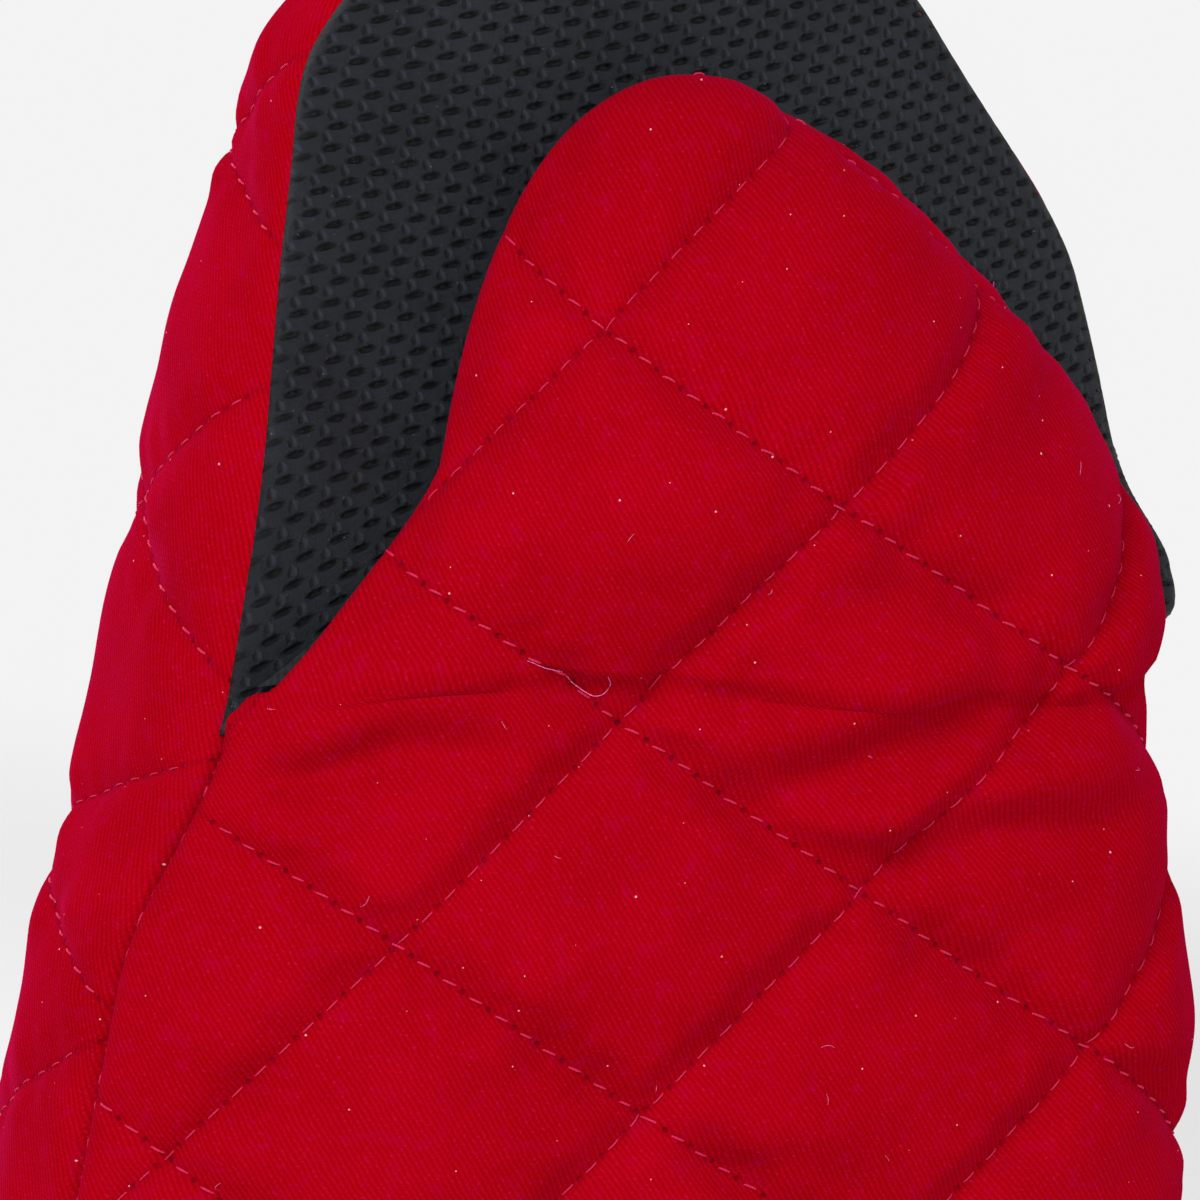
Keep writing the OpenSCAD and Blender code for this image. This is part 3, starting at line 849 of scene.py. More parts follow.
THREAD = Plain("polyester_thread", dark=(0.34, 0.001, 0.02), light=(0.62, 0.008, 0.075), rough=0.55, specular=0.2,
               relief=0.05, warp=0.35, weft=0.5, sheen=0.08, sheen_tint=PINK)
THREAD_DARK = Plain("dark_thread", dark=(0.03, 0.004, 0.01), light=(0.09, 0.02, 0.035), rough=0.6, relief=0.05,
                    warp=0.35, weft=0.5)
SATIN = Plain("label_satin", dark=(0.70, 0.70, 0.68), light=(0.88, 0.88, 0.86), rough=0.4, specular=0.5,
              relief=0.04, warp=0.35, weft=0.7)
LINT = Plain("lint_fibre", dark=(0.45, 0.05, 0.20), light=(0.75, 0.20, 0.42), rough=0.6, relief=0.02)


# ---------------------------------------------------------------------------------------------- mesh helpers
def make_mesh(name: str, verts: np.ndarray, faces: Sequence[Sequence[int]], uv: np.ndarray,
              finishes: Sequence[Finish], kinds: np.ndarray | None = None, sharp: float = 50.0) -> bpy.types.Object:
    """Makes a finished mesh piece.

    Args:
        name: The piece's name.
        verts: Corners in metres.
        faces: Corner numbers of each face.
        uv: Flat place of each corner, in mm.
        finishes: Materials by slot.
        kinds: Slot of each face.
        sharp: Angle in degrees past which an edge stays crisp.

    Returns:
        The object.
    """
    mesh = bpy.data.meshes.new(name)
    mesh.from_pydata(verts.tolist(), [], faces)
    layer = mesh.uv_layers.new(name="UVMap")
    corner = np.empty(len(mesh.loops), dtype=np.int32)
    mesh.loops.foreach_get("vertex_index", corner)
    layer.data.foreach_set("uv", uv[corner].astype(np.float32).ravel())
    for finish in finishes:
        mesh.materials.append(finish.make())
    if kinds is not None:
        mesh.polygons.foreach_set("material_index", kinds.astype(np.int32))
    obj = bpy.data.objects.new(name, mesh)
    bpy.context.scene.collection.objects.link(obj)
    bpy.ops.object.select_all(action="DESELECT")
    obj.select_set(True)
    bpy.context.view_layer.objects.active = obj
    bpy.ops.object.shade_smooth_by_angle(angle=math.radians(sharp))
    return obj


def slab(name: str, outer: np.ndarray, inner: np.ndarray, uv: np.ndarray, every: int,
         finishes: Sequence[Finish]) -> bpy.types.Object:
    """Closes a fine outer grid and a coarse inner grid into one solid sheet.

    Args:
        name: The piece's name.
        outer: Fine grid in mm, columns right and rows up as seen from outside.
        inner: Same grid's inner face; only every few points are used.
        uv: Flat places of the fine grid.
        every: How many fine steps one inner step takes.
        finishes: Outer and inner materials.

    Returns:
        The object.
    """
    n, m = outer.shape[:2]
    inside = inner[::every, ::every]
    r, c = inside.shape[:2]
    verts = np.concatenate([outer.reshape(-1, 3), inside.reshape(-1, 3)])
    places = np.concatenate([uv.reshape(-1, 2), uv[::every, ::every].reshape(-1, 2)])
    a = np.arange(n * m).reshape(n, m)
    b = n * m + np.arange(r * c).reshape(r, c)
    face, back = grid_faces(a), grid_faces(b, inward=True)
    walls = []
    for edge, seam, flip in ((a[0], b[0], True), (a[:, -1], b[:, -1], True), (a[-1], b[-1], False),
                             (a[:, 0], b[:, 0], False)):
        for k in range(len(seam) - 1):
            run = edge[k * every:(k + 1) * every + 1].tolist()
            ring = run[::-1] + [int(seam[k]), int(seam[k + 1])] if flip else run + [int(seam[k + 1]), int(seam[k])]
            walls.append(ring)
    kinds = np.array([0] * (len(face) + len(walls)) + [1] * len(back))
    return make_mesh(name, FORM.place(verts), face + walls + back, places, finishes, kinds)


def strands(name: str, paths: Sequence[np.ndarray], radii: Sequence[float], finish: Finish,
            sides: int = 6) -> bpy.types.Object:
    """Makes many short closed threads as one piece.

    Args:
        name: The piece's name.
        paths: Centre line of each thread, in mm.
        radii: Radius of each thread, in mm.
        finish: The material.
        sides: Faces round each thread.

    Returns:
        The object.
    """
    verts, faces, places = [], [], []
    ring = np.linspace(0, 2 * math.pi, sides, endpoint=False)
    off_axis = np.array([0.13, -0.57, 0.81])  # any direction that no thread runs along
    start = 0
    for path, radius in zip(paths, radii):
        n = len(path)
        ahead = unit(np.gradient(path, axis=0))
        side = unit(np.cross(ahead, np.broadcast_to(off_axis, ahead.shape)))
        top = np.cross(side, ahead)
        taper = np.sin(np.linspace(0.25, math.pi - 0.25, n)) ** 0.35 * radius
        s = travel(path)
        for k in range(n):
            verts.append(path[k] + taper[k] * (np.cos(ring)[:, None] * side[k] + np.sin(ring)[:, None] * top[k]))
            places.append(np.stack([ring * radius + s[k] * 0.8, np.full(sides, s[k])], -1))
        for k in range(n - 1):
            for j in range(sides):
                a, b = start + k * sides + j, start + k * sides + (j + 1) % sides
                faces.append([a, b, b + sides, a + sides])
        faces.append([start + j for j in range(sides)][::-1])
        faces.append([start + (n - 1) * sides + j for j in range(sides)])
        start += n * sides
    obj = make_mesh(name, FORM.place(np.concatenate(verts)), faces, np.concatenate(places), [finish], sharp=80.0)
    face_out(obj)
    return obj


def face_out(obj: bpy.types.Object) -> None:
    """Turns every face of closed shells outwards.

    Args:
        obj: The piece.
    """
    work = bmesh.new()
    work.from_mesh(obj.data)
    bmesh.ops.recalc_face_normals(work, faces=work.faces)
    work.to_mesh(obj.data)
    work.free()


# ---------------------------------------------------------------------------------------------- padded cloth
@dataclass(frozen=True)
class ClothPress:
    """Blows a quilted panel up between its sewn lines with Blender's Cloth."""

    unit_mm: float = 20.0
    pressure: float = 1.3
    fullness: float = 0.02
    frames: int = 16
    cap: float = 2.3
    quality: int = 6
    mass: float = 0.3
    tension: float = 12.0
    shear: float = 6.0
    bending: float = 0.6

    def swell(self, points: np.ndarray, held: np.ndarray) -> np.ndarray:
        """Simulates the panel.

        Args:
            points: Grid in mm.
            held: Weight 0 to 1 that holds each point.

        Returns:
            How far each point moves, in mm.
        """
        n, m = held.shape
        faces = grid_faces(np.arange(n * m).reshape(n, m))
        start = points.reshape(-1, 3) / self.unit_mm
        mesh = bpy.data.meshes.new("cloth_work")
        mesh.from_pydata(start.tolist(), [], faces)
        obj = bpy.data.objects.new("cloth_work", mesh)
        bpy.context.scene.collection.objects.link(obj)
        group = obj.vertex_groups.new(name="held")
        for index, weight in enumerate(held.ravel()):
            if weight > 0:
                group.add([index], float(weight), "REPLACE")
        cloth = obj.modifiers.new("cloth", "CLOTH")
        for key, value in {"vertex_group_mass": "held", "quality": self.quality, "mass": self.mass,
                           "tension_stiffness": self.tension, "compression_stiffness": self.tension,
                           "shear_stiffness": self.shear, "bending_stiffness": self.bending, "use_pressure": True,
                           "uniform_pressure_force": self.pressure, "shrink_min": -self.fullness}.items():
            setattr(cloth.settings, key, value)
        cloth.settings.effector_weights.gravity = 0
        cloth.collision_settings.use_collision = False
        scene = bpy.context.scene
        for step in range(1, self.frames + 1):
            scene.frame_set(step)
        ready = obj.evaluated_get(bpy.context.evaluated_depsgraph_get())
        end = np.empty(n * m * 3)
        ready.data.vertices.foreach_get("co", end)
        scene.frame_set(1)
        bpy.data.objects.remove(obj)
        move = (end.reshape(-1, 3) - start) * self.unit_mm
        far = np.linalg.norm(move, axis=1, keepdims=True)
        log.info("cloth moved %.2f mm at most, %.2f on average", far.max(), far.mean())
        move = move * self.cap / np.sqrt(self.cap ** 2 + far ** 2)
        return move.reshape(n, m, 3)


@dataclass(frozen=True)
class Stitch:
    """One quilting stitch: half its length, its lean in degrees, how much lower it lies and its thread's radius."""

    half: float
    lean: float
    sunk: float
    radius: float


STITCHES = (Stitch(1.25, 2.0, 0.06, 0.125), Stitch(1.12, 11.0, 0.0, 0.18))
STITCH_ARCH = np.array([-0.30, 0.10, 0.16, 0.10, -0.30])


@dataclass
class QuiltedPanel:
    """A padded panel: its grid, its quilting, its creases and its stitches."""

    name: str
    rows: int
    cols: int
    lattice: Lattice
    creases: Sequence[tuple[Sequence[tuple[float, float]], float, float]] = ()
    outer: np.ndarray = field(init=False, repr=False)
    uv: np.ndarray = field(init=False, repr=False)
    normal: np.ndarray = field(init=False, repr=False)
    base: np.ndarray = field(init=False, repr=False)
    base_normal: np.ndarray = field(init=False, repr=False)
    loft: float = 1.0
    seed: int = 3
    hem_top: float = 8.0
    hem_fade: float = 12.0
    hem_sunk: float = 0.5

    def surface(self, rows: int, cols: int) -> tuple[np.ndarray, np.ndarray]:
        """Returns the bare surface and its flat places."""
        raise NotImplementedError

    def seams(self) -> list[tuple[np.ndarray, float, float]]:
        """Returns each sewn edge as (line, how deep it is drawn in, over what width)."""
        raise NotImplementedError

    def crease_depth(self, u: np.ndarray, v: np.ndarray) -> np.ndarray:
        """Shapes the soft folds.

        Args:
            u: First flat coordinate, in mm.
            v: Second flat coordinate, in mm.

        Returns:
            How far the cloth sinks or stands there, in mm.
        """
        total = np.zeros_like(u)
        for points, depth, width in self.creases:
            p = np.array(points)
            best = np.full(u.shape, 1e9)
            side = np.zeros_like(u)
            share = np.zeros_like(u)
            for k in range(len(p) - 1):
                d = p[k + 1] - p[k]
                length = np.linalg.norm(d)
                t = np.clip(((u - p[k, 0]) * d[0] + (v - p[k, 1]) * d[1]) / length ** 2, 0, 1)
                dx, dy = u - p[k, 0] - t * d[0], v - p[k, 1] - t * d[1]
                far = np.hypot(dx, dy)
                near = far < best
                best = np.where(near, far, best)
                side = np.where(near, (dy * d[0] - dx * d[1]) / length, side)
                share = np.where(near, (k + t) / (len(p) - 1), share)
            end = np.sqrt(np.clip(np.sin(math.pi * np.clip(share, 0.02, 0.98)), 0, 1))
            roll = 1.05 * hill((side, 2.1 * width, 1.5 * width)) * hill((best, 0, 4 * width))
            total += depth * end * (roll - hill((best, 0, width)))
        return total

    def build(self) -> None:
        """Makes the finished outer grid."""
        base, uv = self.surface(self.rows, self.cols)
        normal = grid_normals(base)
        lines = self.seams()
        gap = [distance_to(base, line) for line, _, _ in lines]
        near = self.lattice.near(uv[..., 0], uv[..., 1])
        coarse_rows, coarse_cols = (self.rows - 1) // 4 + 1, (self.cols - 1) // 4 + 1
        small, small_uv = self.surface(coarse_rows, coarse_cols)
        held = (self.lattice.near(small_uv[..., 0], small_uv[..., 1]) < 1.6).astype(float)
        held[0] = held[-1] = held[:, 0] = held[:, -1] = 1.0
        move = ClothPress().swell(small, held)
        move = resample(move, self.rows, self.cols)
        quiet = smooth(near / 4.5) * self.loft
        for far in gap:
            quiet = quiet * smooth((far - 0.5) / 15)
        u, v = uv[..., 0], uv[..., 1]
        rise = np.zeros_like(u)
        for family in (0, 1):
            d = np.abs(self.lattice.across(family, u, v))
            s = turned(u, v, self.lattice.angles[family])[0]
            rise -= (0.75 * hill((d, 0, 1.1)) + 0.35 * hill((d, 0, 3.0))) * (0.4 + 0.6 * self.loft)
            pucker = ripple(s, d * 0.25, 7.0, self.seed + family)
            rise += 0.34 * pucker * hill((d, 3.2, 3.4))
        rise += 0.75 * ripple(u, v, 46, self.seed + 5) + 0.30 * ripple(u, v, 17, self.seed + 6)
        rise += self.crease_depth(u, v)
        for (line, depth, width), far in zip(lines, gap):
            rise *= smooth(far / (1.7 * width))
            rise -= rolled(far, depth, width)
        free = smooth((v - self.hem_top) / self.hem_fade)
        rise = rise * free - self.hem_sunk * (1 - free)
        self.outer = base + move * (quiet * free)[..., None] + normal * rise[..., None]
        self.uv, self.normal, self.base, self.base_normal = uv, grid_normals(self.outer), base, normal

    def dress(self, thickness: np.ndarray, every: int, finishes: Sequence[Finish]) -> bpy.types.Object:
        """Returns the closed panel with an inner face at the given depth."""
        inner = self.base - self.base_normal * thickness[..., None]
        return slab(self.name, self.outer, inner, self.uv, every, finishes)

    def at(self, u: np.ndarray, v: np.ndarray) -> tuple[np.ndarray, np.ndarray, np.ndarray]:
        """Looks up flat places on the finished cloth.

        Args:
            u: First flat coordinate.
            v: Second flat coordinate.

        Returns:
            Points, normals and whether each place is on the panel.
        """
        row = np.interp(v, self.uv[:, self.cols // 2, 1], np.arange(self.rows))
        i = np.clip(row.astype(int), 0, self.rows - 2)
        f = (row - i)[:, None]
        point, normal, inside = [], [], []
        for k in range(len(u)):
            line = mix(self.uv[i[k], :, 0], self.uv[i[k] + 1, :, 0], f[k])
            col = np.interp(u[k], line, np.arange(self.cols))
            inside.append(2 < col < self.cols - 3 and 2 < row[k] < self.rows - 3)
            j = min(int(col), self.cols - 2)
            g = col - j
            for source, out in ((self.outer, point), (self.normal, normal)):
                low = mix(source[i[k], j], source[i[k], j + 1], g)
                high = mix(source[i[k] + 1, j], source[i[k] + 1, j + 1], g)
                out.append(mix(low, high, f[k]))
        return np.array(point), unit(np.array(normal)), np.array(inside)

    def stitches(self, name: str, margin: float = 2.5) -> bpy.types.Object:
        """Lays one thread in each stitch of the quilting.

        Args:
            name: The piece's name.
            margin: Distance that stitches keep from the sewn edges, in mm.

        Returns:
            The threads, as one piece.
        """
        paths, radii = [], []
        lat = self.lattice
        edges = np.concatenate([line for line, _, _ in self.seams()])
        span = 420.0
        for family, stitch in enumerate(STITCHES):
            c, s = math.cos(math.radians(lat.angles[family])), math.sin(math.radians(lat.angles[family]))
            count = int(span / lat.pitches[family]) + 1
            slots = int(span / lat.stitch)
            centre = (np.arange(-slots, slots) + 0.5) * lat.stitch
            for k in range(-count, count + 1):
                off = k * lat.pitches[family]
                u0 = lat.origin[0] + centre * c - off * s
                v0 = lat.origin[1] + centre * s + off * c
                ok = (v0 > 16) & (v0 < self.uv[-1, 0, 1] - 3)
                ok &= (u0 > self.uv[..., 0].min()) & (u0 < self.uv[..., 0].max())
                if not ok.any():
                    continue
                u0, v0 = u0[ok], v0[ok]
                point, _, inside = self.at(u0, v0)
                keep = inside & (distance_to(point, edges) > margin)
                for a, b in zip(u0[keep], v0[keep]):
                    t = np.linspace(-stitch.half, stitch.half, 5)
                    lean = math.radians(stitch.lean)
                    dc, ds = math.cos(lean) * c - math.sin(lean) * s, math.cos(lean) * s + math.sin(lean) * c
                    p, n, _ = self.at(a + t * dc, b + t * ds)
                    paths.append(p + n * (STITCH_ARCH - stitch.sunk)[:, None])
                    radii.append(stitch.radius)
        log.info("%s: %d stitches", name, len(paths))
        return strands(name, paths, radii, THREAD)


@dataclass
class FrontPanel(QuiltedPanel):
    """The front half from the cuff to the tip of the thumb, one piece of quilted cloth."""

    def surface(self, rows: int, cols: int) -> tuple[np.ndarray, np.ndarray]:
        """Lays out the bare surface, flattened as the eye in front of the left side sees it.

        Args:
            rows: Rows of the grid.
            cols: Columns of the grid.

        Returns:
            Points and flat places in mm.
        """
        z = even_steps(lambda t: FORM.front(0.15, t), 0.4, FORM.mouth + 0.997 * FORM.thumb, rows)
        s = np.sin(np.linspace(-1, 1, cols) * math.pi / 2)
        p = FORM.front(s[None], z[:, None])
        d = np.diff(p, axis=1)
        seen = d[..., 0] * CAMERA.side[0] + d[..., 1] * CAMERA.side[1]
        u = running(np.maximum(seen, 0.8 * np.linalg.norm(d, axis=-1)))
        middle = cols // 2
        start = p[:, middle, 0] * CAMERA.side[0] + p[:, middle, 1] * CAMERA.side[1]
        u = u - u[:, middle:middle + 1] + start[:, None]
        return p, np.stack([u, np.broadcast_to(z[:, None], u.shape)], -1)

    def seams(self) -> list[tuple[np.ndarray, float, float]]:
        """Lists the side seams, then the thumb's edge with its tip.

        Returns:
            Each as (line, how deep it is drawn in, over what width).
        """
        z = np.linspace(0, FORM.mouth, 500)
        v = FORM.mouth + FORM.thumb * (1 - (1 - np.linspace(0, 0.997, 500)) ** 1.7)
        low = [FORM.front(s * np.ones_like(z), z) for s in (-1, 1)]
        high = [FORM.front(s * np.ones_like(v), v) for s in (-1, 1)]
        return [(np.concatenate(low), 2.6, 5.0), (np.concatenate(high), 2.9, 4.2)]


@dataclass
class BackPanel(QuiltedPanel):
    """The back half, from the left seam round the back of the hand to the right seam."""

    def surface(self, rows: int, cols: int) -> tuple[np.ndarray, np.ndarray]:
        """Lays out the bare surface, flattened from the left seam on.

        Args:
            rows: Rows of the grid.
            cols: Columns of the grid.

        Returns:
            Points and flat places in mm.
        """
        z = even_steps(lambda t: FORM.ring(90.0, t), 0.4, FORM.height - 0.05, rows)
        fine = mix(-FORM.turn_right(z)[:, None], 180 + FORM.turn_left(z)[:, None], np.linspace(0, 1, 800)[None])
        q = FORM.ring(fine, z[:, None])
        s = running(np.linalg.norm(np.diff(q, axis=1), axis=-1))
        angle = [np.interp(np.linspace(0, far[-1], cols), far, turns) for far, turns in zip(s, fine)]
        p = FORM.ring(angle, z[:, None])
        u = np.linspace(0, 1, cols)[None] * s[:, -1:] - s[:, -1:]
        return p, np.stack([u, np.broadcast_to(z[:, None], u.shape)], -1)

    def seams(self) -> list[tuple[np.ndarray, float, float]]:
        """Lists the sewn edges: both sides and the finger tip.

        Returns:
            Each as (line, how deep it is drawn in, over what width).
        """
        z = FORM.height * (1 - (1 - np.linspace(0, 1, 1200)) ** 2)
        z = np.minimum(z, FORM.height - 0.05)
        line = np.concatenate([FORM.left(z), FORM.right(z)])
        tip = FORM.ring(np.linspace(-2, 182, 120), np.full(120, FORM.height - 0.05))
        return [(np.concatenate([line, tip]), 2.4, 4.5)]


# ---------------------------------------------------------------------------------------------- grip sheets
@dataclass
class GripSheet:
    """An embossed foam sheet with a rounded sewn edge."""

    name: str
    rows: int
    cols: int
    faces_back: bool = False
    emboss: Emboss = Emboss()

    def outline(self, z: np.ndarray) -> tuple[np.ndarray, np.ndarray]:
        """Returns the sheet's left and right x at each height."""
        raise NotImplementedError

    def face(self, x: np.ndarray, z: np.ndarray) -> np.ndarray:
        """Returns the y of the sheet's face."""
        raise NotImplementedError

    def heights(self) -> np.ndarray:
        """Returns the row heights."""
        raise NotImplementedError

    def build(self) -> bpy.types.Object:
        """Builds the sheet with its pressed pattern and rounded edge.

        Returns:
            The piece.
        """
        z = self.heights()
        low, high = self.outline(z)
        t = np.linspace(0, 1, self.cols)
        if self.faces_back:
            t = t[::-1]
        x = mix(low[:, None], high[:, None], t[None])
        zz = np.broadcast_to(z[:, None], x.shape)
        base = np.stack([x, self.face(x, zz), zz], -1)
        normal = grid_normals(base)
        side = -1.0 if self.faces_back else 1.0
        u = running(np.linalg.norm(np.diff(base, axis=1), axis=-1))
        middle = self.cols // 2
        u = (u - u[:, middle:middle + 1]) + side * base[:, middle, 0][:, None]
        fine = np.linspace(0, 1, 900)
        rows, order = np.linspace(0, 1, len(z)), np.argsort(t)
        sides = [pick(fine, rows, base[:, k]) for k in (0, -1)]
        far = distance_to(base, np.concatenate([*sides, pick(fine, t[order], base[-1, order])]))
        rise = self.emboss.height(u, zz) * smooth(far / 3.0)
        rise += 0.5 * ripple(u, zz, 38, 11) * smooth(far / 8)
        rise -= rolled(far, 1.9, 3.4)
        outer = base + normal * rise[..., None]
        thick = FORM.grip * mix(0.45, 1.0, smooth(far / 8))
        inner = base - normal * (thick[..., None] + 0.4)
        return slab(self.name, outer, inner, np.stack([u, zz], -1), 4, [NEOPRENE, KNIT])


@dataclass
class FingerGrip(GripSheet):
    """The sheet over the palm side of the fingers."""

    def heights(self) -> np.ndarray:
        """Returns the row heights."""
        return even_steps(lambda t: (FORM.left(t) + FORM.right(t)) / 2, 196.0, FORM.height - 0.4, self.rows)

    def outline(self, z: np.ndarray) -> tuple[np.ndarray, np.ndarray]:
        """Returns the left and right x."""
        belly = 9.8 * hill((z, 212, 10))
        return FORM.left(z)[:, 0], FORM.right(z)[:, 0] + belly

    def face(self, x: np.ndarray, z: np.ndarray) -> np.ndarray:
        """Returns the face's y."""
        return FORM.grip_y(x, z)


@dataclass
class ThumbGrip(GripSheet):
    """The sheet over the palm side of the thumb."""

    def heights(self) -> np.ndarray:
        """Returns the row heights."""
        return even_steps(lambda t: FORM.front(0.1, t), 202.0, FORM.mouth + 0.965 * FORM.thumb, self.rows)

    def outline(self, z: np.ndarray) -> tuple[np.ndarray, np.ndarray]:
        """Finds the sheet's sides, a little inside the thumb's edge.

        Args:
            z: Heights in mm.

        Returns:
            The left and right x.
        """
        v = (z - FORM.mouth) / FORM.thumb
        one = np.ones_like(v)
        inset = 3.4 * smooth((z - FORM.mouth) / 8)
        return (np.minimum(FORM.thumb_x(-one, v) + inset, -1.5), np.maximum(FORM.thumb_x(one, v) - inset, 1.5))

    def face(self, x: np.ndarray, z: np.ndarray) -> np.ndarray:
        """Returns the face's y, a little in front of the finger sheet."""
        return FORM.grip_y(x, z) - FORM.mouth_gap - 0.1


def mouth_strip() -> bpy.types.Object:
    """Builds the bend of the grip sheet along the bottom of the mouth, from finger side to thumb side.

    Returns:
        The piece.
    """
    base_z, inner, turns, stations = 202.0, 0.45, 14, 90
    corner_l, corner_r = FORM.left(FORM.mouth)[0], FORM.right(FORM.mouth)[0]
    verts, places, faces = [], [], []
    for i in range(stations + 1):
        x = mix(corner_l + 4.5, corner_r - 4.5, i / stations)
        share = min(i, stations - i) / stations
        thick = FORM.grip * (0.45 + 0.55 * float(smooth(share / 0.12)))
        lean = math.atan(float(FORM.grip_y(x, base_z + 1.0) - FORM.grip_y(x, base_z)))
        across = np.array([0, math.cos(lean), -math.sin(lean)])
        down = np.array([0, -math.sin(lean), -math.cos(lean)])
        middle = np.array([x, float(FORM.grip_y(x, base_z)) - inner, base_z + 0.6])
        for radius, order in ((inner + thick, range(turns + 1)), (inner, range(turns, -1, -1))):
            for k in order:
                a = math.pi * k / turns
                verts.append(middle + radius * (math.cos(a) * across + math.sin(a) * down))
                places.append((x, radius * a))
    m = 2 * (turns + 1)
    for i in range(stations):
        for k in range(m):
            n = (k + 1) % m
            faces.append([i * m + k, i * m + n, i * m + m + n, i * m + m + k])
    for k in range(turns):
        far = m - 1 - k
        faces.append([k, far, far - 1, k + 1][::-1])
        e = stations * m
        faces.append([e + k, e + far, e + far - 1, e + k + 1])
    obj = make_mesh("mouth_strip", FORM.place(np.array(verts)), faces, np.array(places), [NEOPRENE])
    face_out(obj)
    return obj


def sweep(name: str, path: np.ndarray, across: np.ndarray, lift: np.ndarray, section: np.ndarray, finish: Finish,
          closed: bool, place: Callable[[np.ndarray], np.ndarray]) -> bpy.types.Object:
    """Sweeps a closed section along a path.

    Args:
        name: The piece's name.
        path: Path points in mm.
        across: Section's first direction at each path point.
        lift: Section's second direction at each path point.
        section: Section corners in mm, per path point or one for all.
        finish: The material.
        closed: Whether the path meets its start.
        place: Turns mm into metres in the shared frame.

    Returns:
        The object.
    """
    n = len(path)
    section = np.broadcast_to(section, (n, *section.shape[-2:]))
    m = section.shape[1]
    verts = path[:, None] + section[..., :1] * across[:, None] + section[..., 1:] * lift[:, None]
    s = travel(path)
    w = travel(section[0])
    places = np.stack(np.meshgrid(s, w, indexing="ij"), -1).reshape(-1, 2)
    faces = []
    for i in range(n if closed else n - 1):
        for k in range(m):
            a, b = i * m, ((i + 1) % n) * m
            faces.append([a + k, a + (k + 1) % m, b + (k + 1) % m, b + k])
    if not closed:
        faces += [list(range(m)), [(n - 1) * m + k for k in range(m)][::-1]]
    obj = make_mesh(name, place(verts.reshape(-1, 3)), faces, places, [finish])
    face_out(obj)
    return obj


